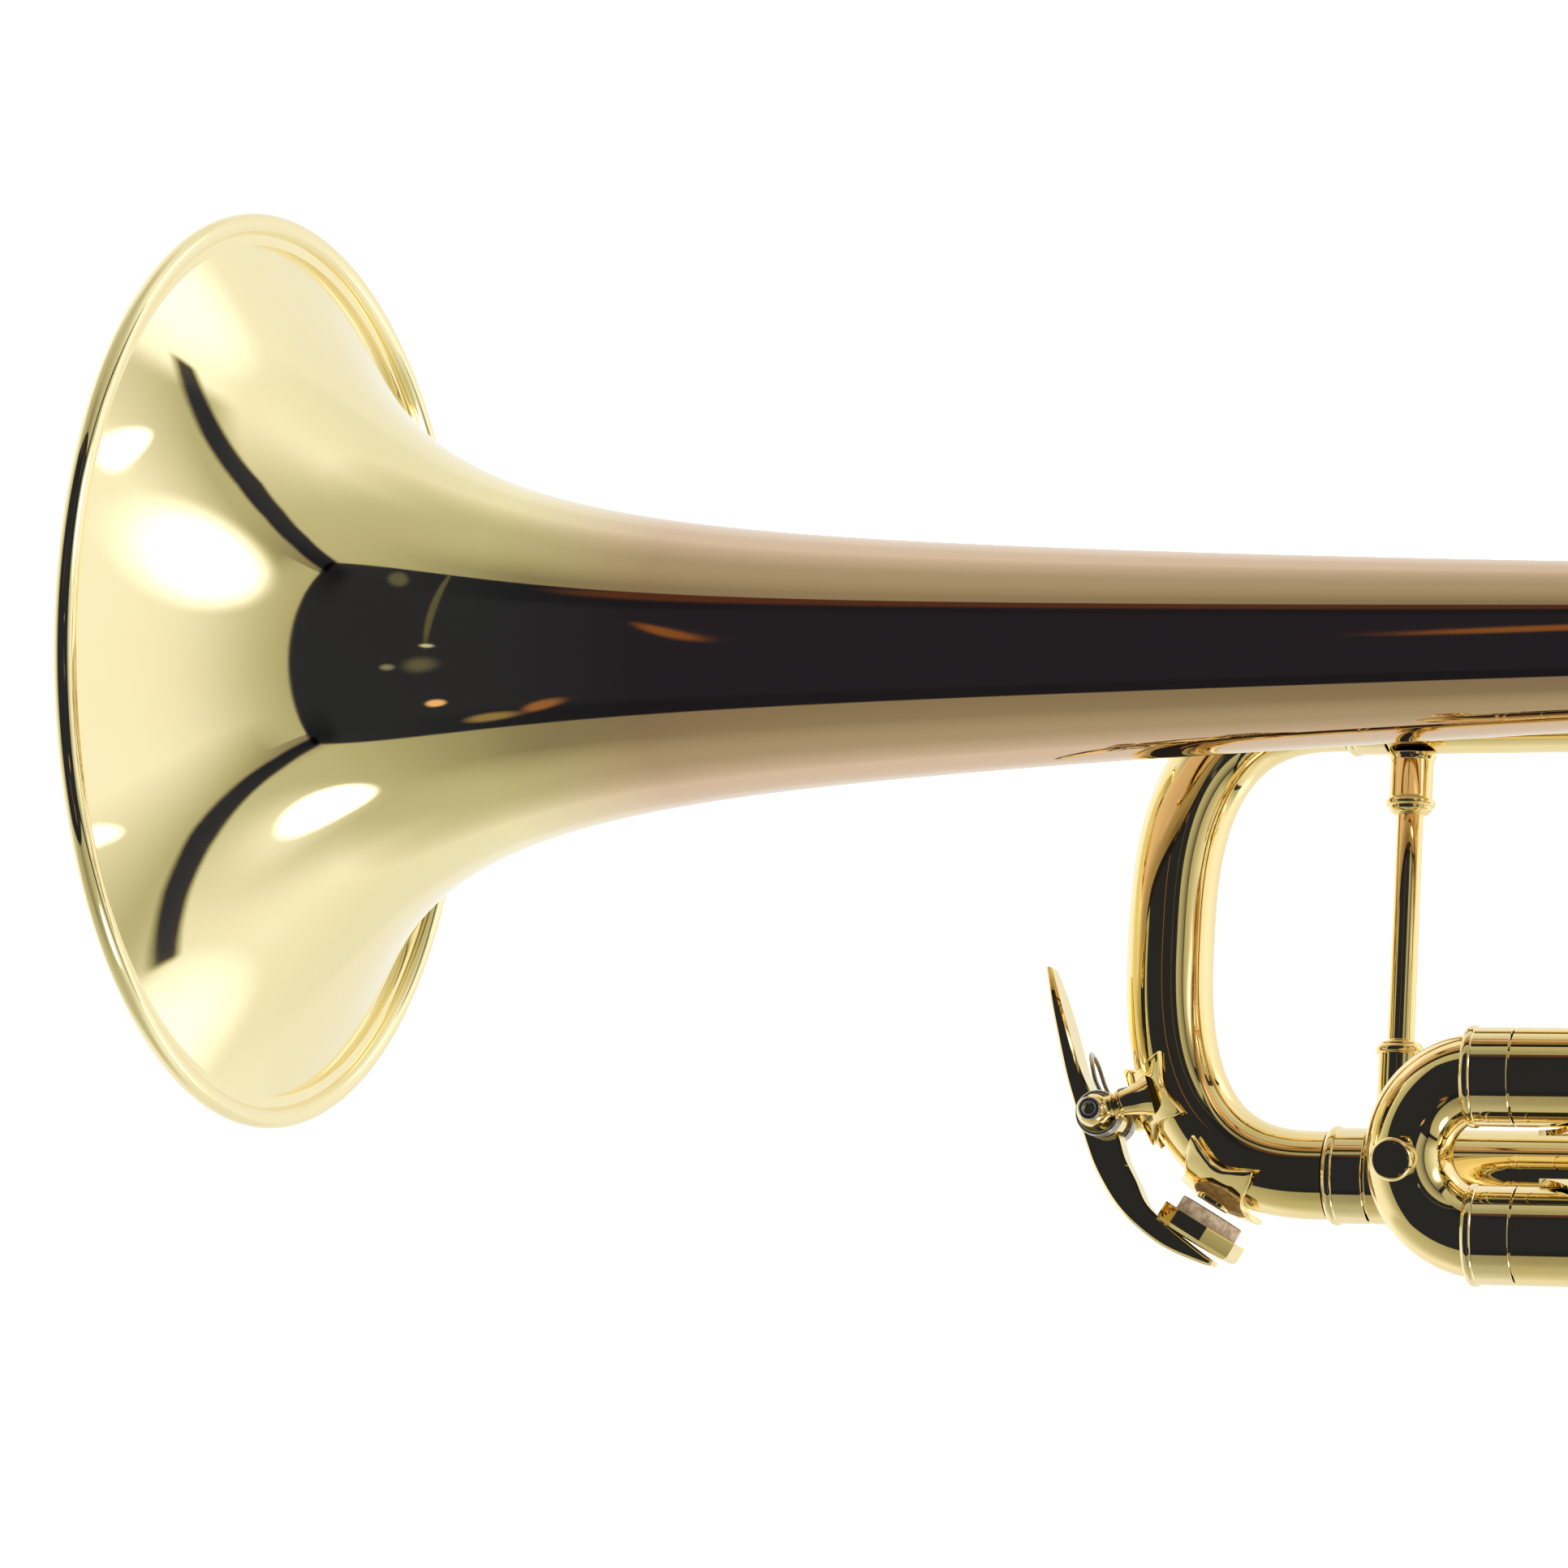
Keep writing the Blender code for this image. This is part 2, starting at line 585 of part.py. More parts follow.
def knuckle(valve, axis_y, height, angle, toward, end):
    """A tube's path from a casing's side, bending to run along X at axis_y."""
    sign = 1 if toward > 0 else -1
    turn = math.radians(angle)
    reach = CASING_RADIUS + GAP + 0.2
    start_x = VALVE_X[valve] + sign * reach * math.cos(turn)
    start_y = -reach * math.sin(turn)
    bend = (start_y - axis_y) / (1 - math.cos(turn))
    centre = Vector((start_x + sign * bend * math.sin(turn), axis_y + bend, height))
    path = arc(centre, (0, -bend, 0), (-sign * bend, 0, 0), angle, 0, 5)
    return path + [Vector((end, axis_y, height))]


def make_third_slide():
    seam = THIRD_SEAM_X + GAP / 2
    middle = (THIRD_UPPER_Z + THIRD_LOWER_Z) / 2
    half = (THIRD_UPPER_Z - THIRD_LOWER_Z) / 2
    for name, height in (("upper", THIRD_UPPER_Z), ("lower", THIRD_LOWER_Z)):
        path = knuckle(3, THIRD_Y, height, 55, -1, seam)
        swept(f"third_outer_{name}", path, OUTER_TUBE, BRASS, OUTER_WALL, 10)
        step = THIRD_BOW_X + BOW_LEAD + GAP
        leg = beaded_leg(THIRD_LEG_END_X, THIRD_SEAM_X - GAP / 2, THIRD_FERRULE_X, step)
        turned(f"third_leg_{name}", leg, (0, THIRD_Y, height), (1, 0, 0), PALE_BRASS, 12)
    centre = (THIRD_BOW_X, THIRD_Y, middle)
    bend = arc(centre, (0, 0, half), (-half, 0, 0), 0, 180, 10)
    lead = Vector((BOW_LEAD, 0, 0))
    ends = [bend[0] + lead, bend[-1] + lead]
    bow = as_mesh(swept("third_slide_bow", [ends[0], *bend, ends[1]], THIRD_BOW_TUBE, BRASS, LEG_WALL, 10))
    apex = THIRD_BOW_X - half
    foot = THIRD_BOW_TUBE
    knob = [
        (0.0, foot + 4.9), (2.3, foot + 4.9), (2.8, foot + 4.4), (2.8, foot + 1.7), (1.6, foot + 1.1),
        (1.6, foot - 0.45), (0.0, foot - 0.45),
    ]
    stub = turned("third_knob", knob, (apex, THIRD_Y, middle), (0, -1, 0), None, 12, CUTTERS)
    combine(bow, [stub], "UNION")
    gap_half = half - OUTER_TUBE - GAP
    spool = [
        (0.0, gap_half), (3.4, gap_half), (3.0, gap_half - 0.7), (1.6, gap_half - 1.6), (1.6, 1.6 - gap_half),
        (3.0, 0.7 - gap_half), (3.4, -gap_half), (0.0, -gap_half),
    ]
    turned("third_slide_brace", spool, (-104.5, THIRD_Y, middle), (0, 0, 1), BRASS, 10)
    ring_bottom = THIRD_UPPER_Z + OUTER_TUBE + GAP
    hoop = [(12.6, 1.6), (13.0, 0.0), (12.6, -1.6), (11.3, -1.8), (10.6, 0.0), (11.3, 1.8)]
    turned("third_finger_ring", hoop, (-66.0, THIRD_Y, ring_bottom + 13.0), (0, 1, 0), BRASS, 20)


def make_first_slide():
    middle = (FIRST_UPPER_Z + FIRST_LOWER_Z) / 2
    half = (FIRST_UPPER_Z - FIRST_LOWER_Z) / 2
    for name, height in (("upper", FIRST_UPPER_Z), ("lower", FIRST_LOWER_Z)):
        path = knuckle(1, FIRST_Y, height, 50, 1, FIRST_SEAM_X - GAP / 2)
        swept(f"first_outer_{name}", path, OUTER_TUBE, BRASS, OUTER_WALL, 10)
    bend = arc((FIRST_BOW_X, FIRST_Y, middle), (0, 0, half), (half, 0, 0), 0, 180, 8)
    start = Vector((FIRST_LEG_END_X, FIRST_Y, FIRST_UPPER_Z))
    end = Vector((FIRST_LEG_END_X, FIRST_Y, FIRST_LOWER_Z))
    slide = as_mesh(swept("first_slide", [start] + bend + [end], LEG_TUBE, BRASS, LEG_WALL, 10))
    rings = []
    for name, height in (("upper", FIRST_UPPER_Z), ("lower", FIRST_LOWER_Z)):
        profile = ring_profile(OUTER_TUBE, LEG_TUBE - 0.3, FIRST_SEAM_X + GAP / 2, FIRST_BOW_X - 0.5)
        rings.append(turned(f"first_ferrule_{name}", profile, (0, FIRST_Y, height), (1, 0, 0), None, 12))
    combine(slide, rings, "UNION")
    floor = FIRST_UPPER_Z + OUTER_TUBE + GAP
    ribbon("first_thumb_saddle", saddle_path(81.0, floor + 1.4), FIRST_Y, 5.5, 1.4, BRASS)


def saddle_path(centre_x, floor):
    """A U that opens upwards, in the XZ plane."""
    radius = 9.5
    wall = 8.0
    points = [(centre_x - radius, floor + radius + wall)]
    for i in range(11):
        angle = math.pi * (1 + i / 10)
        points.append((centre_x + radius * math.cos(angle), floor + radius + radius * math.sin(angle)))
    points.append((centre_x + radius, floor + radius + wall))
    return points


def hook_path():
    """A base on the tube and a hook that rises in front and curls back, in the XZ plane."""
    radius = 9.0
    floor = LEADPIPE_AXIS[1] + OUTER_TUBE + GAP + 1.4
    points = [(-46.0, floor)]
    for i in range(13):
        angle = math.radians(-90 - 200 * i / 12)
        points.append((-58.0 + radius * math.cos(angle), floor + radius + radius * math.sin(angle)))
    return points


def ribbon(name, path, y, half_width, thickness, look):
    """A bent strip: a path in the XZ plane, spread along Y and thickened away from its inner side."""
    data = bpy.data.curves.new(name, "CURVE")
    data.dimensions = "2D"
    data.fill_mode = "NONE"
    data.extrude = half_width * MM
    spline = data.splines.new("POLY")
    spline.points.add(len(path) - 1)
    for point, (x, z) in zip(spline.points, path):
        point.co = (x * MM, z * MM, 0.0, 1.0)
    upright = Matrix.Translation((0, y * MM, 0)) @ Matrix.Rotation(math.radians(90), 4, "X")
    strip = as_mesh(add(name, data, look, upright))
    shell = strip.modifiers.new("thickness", "SOLIDIFY")
    shell.thickness = thickness * MM
    shell.offset = 1.0
    shell.use_even_offset = True
    return strip


def make_second_slide():
    middle = (SECOND_UPPER_Z + SECOND_LOWER_Z) / 2
    half = (SECOND_UPPER_Z - SECOND_LOWER_Z) / 2
    start_y = CASING_RADIUS + GAP
    rings = []
    for name, height in (("upper", SECOND_UPPER_Z), ("lower", SECOND_LOWER_Z)):
        outer = ring_profile(OUTER_TUBE, OUTER_TUBE - OUTER_WALL, start_y, SECOND_SEAM_Y - GAP / 2)
        turned(f"second_outer_{name}", outer, (0, 0, height), (0, 1, 0), BRASS, 12)
        ferrule = ring_profile(OUTER_TUBE, LEG_TUBE - 0.3, SECOND_SEAM_Y + GAP / 2, SECOND_BOW_Y - 0.5)
        rings.append(turned(f"second_ferrule_{name}", ferrule, (0, 0, height), (0, 1, 0), None, 12))
    bend = arc((0, SECOND_BOW_Y, middle), (0, 0, half), (0, half, 0), 0, 180, 8)
    start = Vector((0, SECOND_LEG_END_Y, SECOND_UPPER_Z))
    end = Vector((0, SECOND_LEG_END_Y, SECOND_LOWER_Z))
    slide = as_mesh(swept("second_slide", [start] + bend + [end], LEG_TUBE, BRASS, LEG_WALL, 10))
    apex = SECOND_BOW_Y + half + LEG_TUBE
    knob = [(0.0, 5.5), (2.3, 5.5), (2.8, 5.0), (2.8, 2.4), (1.6, 1.6), (1.6, -0.45), (0.0, -0.45)]
    stub = turned("second_knob", knob, (0, apex, middle), (0, 1, 0), None, 10)
    combine(slide, [stub, *rings], "UNION")


# ---------------------------------------------------------------------------------- braces

def make_bell_brace(name, x, pipe_radius):
    """A rod with a foot at each end, from the bell to the pipe beside it."""
    bell = along(BELL_AXIS, x)
    pipe = along(LEADPIPE_AXIS, x)
    way = (pipe - bell).normalized()
    low = bell_radius(x - RIM_X) + 2 * GAP
    high = (pipe - bell).length - pipe_radius - GAP
    profile = [
        (0.0, high), (3.0, high), (2.8, high - 0.8), (1.7, high - 1.8), (1.7, low + 1.8), (2.8, low + 0.8),
        (3.0, low), (0.0, low),
    ]
    turned(name, profile, bell, way, BRASS, 12)


def make_all():
    make_bell()
    make_bell_bow()
    for valve in VALVE_X:
        make_casing(valve)
        make_caps(valve)
        make_piston(valve)
        make_valve_top(valve)
    make_passage("valve_passage_23", 3, 2, 62.0)
    make_passage("valve_passage_12", 2, 1, 52.0)
    make_leadpipe()
    make_mouthpiece()
    make_tuning_slide()
    make_tuning_brace()
    make_nipple()
    make_posts()
    make_lever()
    make_third_slide()
    make_first_slide()
    make_second_slide()
    ribbon("finger_hook", hook_path(), LEADPIPE_AXIS[0], 3.6, 1.4, BRASS)
    make_bell_brace("bell_brace_front", -62.0, OUTER_TUBE)
    make_bell_brace("bell_brace_rear", 62.0, 5.5)


make_all()
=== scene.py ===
"""Finished surfaces, camera and light for a three-valve trumpet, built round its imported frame.

Lengths are millimetres unless a name says otherwise, in the frame's own axes: +X points to the
player, +Y to the player's right and +Z up. MM turns them into the scene's metres.
"""

import json
import math

import bpy
from mathutils import Matrix, Vector

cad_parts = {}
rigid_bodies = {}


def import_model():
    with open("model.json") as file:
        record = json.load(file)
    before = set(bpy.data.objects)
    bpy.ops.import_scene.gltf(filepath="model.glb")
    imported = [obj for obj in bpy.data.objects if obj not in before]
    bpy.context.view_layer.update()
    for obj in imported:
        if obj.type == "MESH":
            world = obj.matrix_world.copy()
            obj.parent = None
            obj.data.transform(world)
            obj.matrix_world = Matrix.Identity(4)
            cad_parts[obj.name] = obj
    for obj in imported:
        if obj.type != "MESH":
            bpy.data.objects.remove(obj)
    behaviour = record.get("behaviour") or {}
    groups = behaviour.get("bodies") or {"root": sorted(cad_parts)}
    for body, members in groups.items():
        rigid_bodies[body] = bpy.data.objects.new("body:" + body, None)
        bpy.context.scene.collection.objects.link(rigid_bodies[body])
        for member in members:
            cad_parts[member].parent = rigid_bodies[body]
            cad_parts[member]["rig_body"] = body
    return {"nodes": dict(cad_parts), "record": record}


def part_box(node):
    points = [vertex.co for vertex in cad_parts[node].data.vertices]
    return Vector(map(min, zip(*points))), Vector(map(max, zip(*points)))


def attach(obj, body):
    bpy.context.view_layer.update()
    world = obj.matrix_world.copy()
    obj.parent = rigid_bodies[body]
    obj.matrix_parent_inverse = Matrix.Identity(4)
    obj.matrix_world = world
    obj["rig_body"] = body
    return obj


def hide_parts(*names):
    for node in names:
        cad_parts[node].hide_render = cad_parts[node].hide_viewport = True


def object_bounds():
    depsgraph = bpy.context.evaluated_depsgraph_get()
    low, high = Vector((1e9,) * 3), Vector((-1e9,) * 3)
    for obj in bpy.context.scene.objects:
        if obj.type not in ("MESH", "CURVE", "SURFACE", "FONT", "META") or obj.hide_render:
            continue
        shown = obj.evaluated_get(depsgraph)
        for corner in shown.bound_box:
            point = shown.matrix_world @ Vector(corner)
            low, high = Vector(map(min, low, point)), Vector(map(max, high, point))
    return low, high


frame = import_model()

MM = 0.001
GAP = 0.3  # between pieces that touch, as in the CAD
CAD_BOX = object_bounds()

BODY_OF = {node: obj["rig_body"] for node, obj in frame["nodes"].items()}
SLOT_OF = {part["node"]: part["material_slot"] for part in frame["record"]["subparts"]}


# ---------------------------------------------------------------------------- reading the frame

def low(node):
    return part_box(node)[0] / MM


def high(node):
    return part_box(node)[1] / MM


def middle(node):
    return (low(node) + high(node)) / 2


def on_axis(node, x):
    """The point at x on the line along X through a node's middle."""
    place = middle(node)
    return Vector((x, place.y, place.z))


def under(node):
    """The point at height 0 under a node's middle."""
    place = middle(node)
    return Vector((place.x, place.y, 0))


def put_in_scene(obj):
    bpy.context.scene.collection.objects.link(obj)
    return obj


# ---------------------------------------------------------------------------- shapes
# A shape is a pair: a list of points and a list of faces that index them.

def placed(origin, direction, spin=0.0):
    """The matrix that puts +Z along a direction, with its foot at an origin."""
    turn = Vector((0, 0, 1)).rotation_difference(Vector(direction).normalized())
    return Matrix.Translation(Vector(origin)) @ turn.to_matrix().to_4x4() @ Matrix.Rotation(spin, 4, "Z")


def moved(shape, matrix):
    points, faces = shape
    return [matrix @ Vector(point) for point in points], faces


def merged(shapes):
    points, faces = [], []
    for some_points, some_faces in shapes:
        start = len(points)
        points.extend(some_points)
        faces.extend([tuple(start + i for i in face) for face in some_faces])
    return points, faces


def eased(profile, radius, closed=False, steps=3):
    """A profile whose corners are rounded to about a radius."""
    count = len(profile)
    result = []
    for i, (r, t) in enumerate(profile):
        inner_point = closed or 0 < i < count - 1
        before = Vector(profile[i - 1])
        after = Vector(profile[(i + 1) % count])
        here = Vector((r, t))
        to_before = before - here
        to_after = after - here
        if not inner_point or to_before.length < 1e-6 or to_after.length < 1e-6:
            result.append((r, t))
            continue
        turn = to_before.angle(to_after)
        if turn > math.radians(160):
            result.append((r, t))
            continue
        reach = min(radius, 0.45 * to_before.length, 0.45 * to_after.length)
        first = here + to_before.normalized() * reach
        last = here + to_after.normalized() * reach
        for k in range(steps + 1):
            s = k / steps
            point = first * (1 - s) ** 2 + here * (2 * s * (1 - s)) + last * s * s
            result.append((max(point.x, 0.0), point.y))
    return result


def lathe(profile, origin, direction, segments=96, ease=0.0, wave=None, spin=0.0):
    """A turned shape: (radius, height) points, down its outer side and back up its bore.

    A profile that starts and ends on the axis makes a solid piece; any other is a closed ring.
    wave(angle, radius, height) gives a changed radius, as for knurling.
    """
    closed = profile[0][0] > 0 or profile[-1][0] > 0
    if ease:
        profile = eased(profile, ease, closed)
    points, faces, rings = [], [], []
    for radius, height in profile:
        if radius < 1e-6:
            rings.append([len(points)])
            points.append(Vector((0, 0, height)))
            continue
        ring = []
        for k in range(segments):
            angle = 2 * math.pi * k / segments
            r = wave(angle, radius, height) if wave else radius
            ring.append(len(points))
            points.append(Vector((r * math.cos(angle), r * math.sin(angle), height)))
        rings.append(ring)
    pairs = list(zip(rings, rings[1:]))
    if closed:
        pairs.append((rings[-1], rings[0]))
    for upper, lower in pairs:
        for k in range(segments):
            n = (k + 1) % segments
            if len(upper) == 1 and len(lower) == 1:
                break
            if len(upper) == 1:
                faces.append((upper[0], lower[k], lower[n]))
            elif len(lower) == 1:
                faces.append((upper[k], lower[0], upper[n]))
            else:
                faces.append((upper[k], lower[k], lower[n], upper[n]))
    return moved((points, faces), placed(origin, direction, spin))


def path_frames(path):
    """A pair of side vectors at each point of a path, turned as little as possible along it."""
    count = len(path)
    tangents = []
    for i in range(count):
        tangents.append((path[min(i + 1, count - 1)] - path[max(i - 1, 0)]).normalized())
    side = tangents[0].orthogonal().normalized()
    frames = []
    for i, tangent in enumerate(tangents):
        if i:
            side = tangents[i - 1].rotation_difference(tangent) @ side
        side = (side - tangent * side.dot(tangent)).normalized()
        frames.append((side, tangent.cross(side)))
    return frames


def tube(path, radius, wall=0.0, sides=48):
    """A tube along a path of points, solid when it has no wall. radius may be one value a point."""
    radii = radius if isinstance(radius, (list, tuple)) else [radius] * len(path)
    frames = path_frames(path)
    points, faces = [], []

    def ring(i, r):
        start = len(points)
        first, second = frames[i]
        for k in range(sides):
            angle = 2 * math.pi * k / sides
            points.append(path[i] + first * (r * math.cos(angle)) + second * (r * math.sin(angle)))
        return [start + k for k in range(sides)]

    outer = [ring(i, r) for i, r in enumerate(radii)]
    inner = [ring(i, r - wall) for i, r in enumerate(radii)] if wall else []
    loops = outer + inner[::-1]
    if wall:
        loops.append(outer[0])
    for here, there in zip(loops, loops[1:]):
        for k in range(sides):
            n = (k + 1) % sides
            faces.append((here[k], here[n], there[n], there[k]))
    if not wall:
        faces.append(tuple(reversed(outer[0])))
        faces.append(tuple(outer[-1]))
    return points, faces


def arc(centre, first, second, start, end, count):
    """Points from angle start to end, where first and second are the arc's two radius vectors."""
    points = []
    for i in range(count + 1):
        angle = math.radians(start + (end - start) * i / count)
        points.append(Vector(centre) + Vector(first) * math.cos(angle) + Vector(second) * math.sin(angle))
    return points


def smooth_curve(spots, per_span=8):
    """A Catmull-Rom curve through spots, each a Vector or a tuple of numbers."""
    spots = [Vector(s) for s in spots]
    result = []
    for i in range(len(spots) - 1):
        before = spots[max(i - 1, 0)]
        here, there = spots[i], spots[i + 1]
        after = spots[min(i + 2, len(spots) - 1)]
        for k in range(per_span):
            t = k / per_span
            result.append(0.5 * (2 * here + (there - before) * t
                                 + (2 * before - 5 * here + 4 * there - after) * t**2
                                 + (3 * here - before - 3 * there + after) * t**3))
    result.append(spots[-1])
    return result


def loft(rings):
    """A closed shape through rings that have the same number of points, with a flat cap at each end."""
    count = len(rings[0])
    points = [p for ring in rings for p in ring]
    faces = []
    for i in range(len(rings) - 1):
        for k in range(count):
            n = (k + 1) % count
            faces.append((i * count + k, i * count + n, (i + 1) * count + n, (i + 1) * count + k))
    faces.append(tuple(reversed(range(count))))
    faces.append(tuple(range(len(points) - count, len(points))))
    return points, faces


# ---------------------------------------------------------------------------- materials

def tree_of(look):
    look.use_nodes = True
    tree = look.node_tree
    return tree, tree.nodes["Principled BSDF"]


def add_node(tree, kind, settings=None, links=None):
    """A new shader node, with its inputs set by name or place and linked from other outputs."""
    node = tree.nodes.new(kind)
    for key, value in (settings or {}).items():
        if isinstance(key, str) and hasattr(node, key):
            setattr(node, key, value)
        else:
            node.inputs[key].default_value = value
    for key, output in (links or {}).items():
        tree.links.new(output, node.inputs[key])
    return node


def noise_of(tree, place, scale, detail=3.0, stretch=(1, 1, 1)):
    mapping = add_node(tree, "ShaderNodeMapping", {"Scale": stretch}, {"Vector": place})
    settings = {"Scale": scale, "Detail": detail, "Roughness": 0.6}
    noise = add_node(tree, "ShaderNodeTexNoise", settings, {"Vector": mapping.outputs["Vector"]})
    return noise.outputs["Fac"]


def ramp_of(tree, value, stops, curve="LINEAR"):
    """A colour that changes with a value from 0 to 1: stops are (position, colour)."""
    ramp = add_node(tree, "ShaderNodeValToRGB", links={"Fac": value})
    ramp.color_ramp.interpolation = curve
    elements = ramp.color_ramp.elements
    while len(elements) < len(stops):
        elements.new(1.0)
    for element, (position, colour) in zip(elements, stops):
        element.position = position
        element.color = colour
    return ramp.outputs["Color"]


def spread(tree, value, from_low, from_high, to_low, to_high):
    settings = {"From Min": from_low, "From Max": from_high, "To Min": to_low, "To Max": to_high}
    return add_node(tree, "ShaderNodeMapRange", settings, {"Value": value}).outputs["Result"]


def mixed(tree, share, first, second):
    """A colour between two, each given as a colour or as another node's output."""
    mix = add_node(tree, "ShaderNodeMix", {"data_type": "RGBA"}, {"Factor": share})
    ends = {socket.name: socket for socket in mix.inputs if socket.type == "RGBA"}
    for name, colour in (("A", first), ("B", second)):
        if isinstance(colour, tuple):
            ends[name].default_value = colour
        else:
            tree.links.new(colour, ends[name])
    return [socket for socket in mix.outputs if socket.type == "RGBA"][0]


# The bell's metal turns from yellow to a darker amber between these distances from the rim, in metres: a
# painted reflection of brass mirrored in brass.
STEM_PAINTED_AMBER_FROM = 0.040
STEM_PAINTED_AMBER_TO = 0.062


def metal_look(name, colour, shade, roughness, grain, coat, painted_stem_amber=None):
    """Polished metal under lacquer: its tint drifts a little, with faint haze and buffing marks.

    Given a stem colour, the metal turns to it along the bell's stem: a darker amber, the painted reflection
    of brass mirrored in brass.
    """
    look = bpy.data.materials.new(name)
    tree, shader = tree_of(look)
    place = add_node(tree, "ShaderNodeTexCoord").outputs["Object"]
    cloud = noise_of(tree, place, 38.0, 4.0)
    tint = mixed(tree, spread(tree, cloud, 0.35, 0.7, 0.0, 1.0), (*colour, 1), (*shade, 1))
    # Painted reflection: the stem's darker amber stands for brass mirrored in brass.
    if painted_stem_amber:
        along = add_node(tree, "ShaderNodeSeparateXYZ", links={0: place}).outputs["X"]
        rim = low("bell_flare").x * MM
        share = spread(tree, along, rim + STEM_PAINTED_AMBER_FROM, rim + STEM_PAINTED_AMBER_TO, 0.0, 1.0)
        tint = mixed(tree, share, tint, (*painted_stem_amber, 1))
    tree.links.new(tint, shader.inputs["Base Color"])
    haze = noise_of(tree, place, 160.0, 5.0)
    tree.links.new(spread(tree, haze, 0.3, 0.75, roughness[0], roughness[1]), shader.inputs["Roughness"])
    marks = noise_of(tree, place, 700.0, 3.0, (0.12, 1, 1))
    bump = add_node(tree, "ShaderNodeBump", {"Strength": grain, "Distance": 0.00002}, {"Height": marks})
    tree.links.new(bump.outputs["Normal"], shader.inputs["Normal"])
    shader.inputs["Metallic"].default_value = 1.0
    shader.inputs["Coat Weight"].default_value = coat
    shader.inputs["Coat Roughness"].default_value = 0.03
    shader.inputs["Coat IOR"].default_value = 1.5
    return look


def cork_look():
    """Natural cork: pale tan with dark pores and a grainy, matt surface."""
    look = bpy.data.materials.new("cork")
    tree, shader = tree_of(look)
    place = add_node(tree, "ShaderNodeTexCoord").outputs["Object"]
    grain = noise_of(tree, place, 900.0, 6.0)
    tan = ramp_of(tree, grain, ((0.36, (0.38, 0.26, 0.16, 1)), (0.58, (0.64, 0.50, 0.35, 1))))
    tree.links.new(tan, shader.inputs["Base Color"])
    bump = add_node(tree, "ShaderNodeBump", {"Strength": 0.5, "Distance": 0.0001}, {"Height": grain})
    tree.links.new(bump.outputs["Normal"], shader.inputs["Normal"])
    tree.links.new(spread(tree, grain, 0.3, 0.7, 0.75, 0.95), shader.inputs["Roughness"])
    return look


LOOKS = {
    "lacquered_brass": metal_look(
        "lacquered_brass", (0.93, 0.76, 0.40), (0.91, 0.73, 0.35), (0.02, 0.05), 0.03, 0.1
    ),
    # The bell's last colour is a painted reflection: a darker amber along the stem for brass mirrored in
    # brass.
    "bell_brass": metal_look(
        "bell_brass", (0.93, 0.82, 0.50), (0.92, 0.80, 0.47), (0.02, 0.05), 0.03, 0.1, (0.70, 0.50, 0.35)
    ),
    "pale_brass": metal_look("pale_brass", (0.93, 0.78, 0.48), (0.90, 0.75, 0.42), (0.03, 0.06), 0.04, 0.1),
    "steel": metal_look("steel", (0.66, 0.66, 0.67), (0.56, 0.56, 0.58), (0.12, 0.25), 0.2, 0.0),
    "monel": metal_look("monel", (0.72, 0.70, 0.66), (0.64, 0.62, 0.58), (0.14, 0.24), 0.15, 0.0),
    "silver_plate": metal_look(
        "silver_plate", (0.90, 0.90, 0.88), (0.85, 0.85, 0.82), (0.03, 0.08), 0.05, 0.0
    ),
    "cork": cork_look(),
}


# ---------------------------------------------------------------------------- pieces

def finish_piece(name, shapes, node, replaced=(), look=None, sharp=50.0):
    """One visible piece: it rides with a node's body and stands for the nodes it replaces."""
    points, faces = merged(shapes)
    data = bpy.data.meshes.new(name)
    data.from_pydata([Vector(p) * MM for p in points], [], faces)
    data.validate()
    data.shade_smooth()
    data.set_sharp_from_angle(angle=math.radians(sharp))
    data.materials.append(LOOKS[look or SLOT_OF[node]])
    obj = put_in_scene(bpy.data.objects.new(name, data))
    normals = obj.modifiers.new("normals", "WEIGHTED_NORMAL")
    normals.keep_sharp = True
    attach(obj, BODY_OF[node])
    SLOT_OF[node] if look == "bell_brass" else look or SLOT_OF[node]
    if replaced:
        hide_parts(*replaced)
    return obj


def stand_in(node, *shapes, look=None, sharp=50.0):
    return finish_piece(f"{node}_finish", shapes, node, (node,), look, sharp)


# ---------------------------------------------------------------------------- bell

BELL_WALL = 0.6
BEAD_RADIUS = 1.45
BEAD_STEPS = 32
BELL_START = 0.9  # distance from the rim at which the outer skin leaves the bead
BELL_INNER_START = 1.5
BELL_STEPS = 120
BELL_CROWDING = 8.0  # the smaller it is, the closer the rings stand near the rim
BOW_TUBE = 6.5
BELL_SHIFT = 40.0
# The natural log of the radius as a polynomial in log(distance + BELL_SHIFT) - 4, with the highest
# power first.
BELL_CURVE = (0.215, -0.8753, 0.9269, 0.2271, -1.4818, 3.6583)


def bell_radius(distance):
    """Outer radius at a distance from the rim: one smooth curve, for smooth reflections."""
    x = math.log(distance + BELL_SHIFT) - 4
    value = 0.0
    for factor in BELL_CURVE:
        value = value * x + factor
    return math.exp(value)


def bell_inner(distance):
    """The inner skin's radius and distance, one wall in from the outer skin at a distance."""
    step = 0.2
    rise = (bell_radius(distance + step) - bell_radius(distance - step)) / (2 * step)
    length = math.hypot(1.0, rise)
    return (bell_radius(distance) - BELL_WALL / length, distance + BELL_WALL * rise / length)


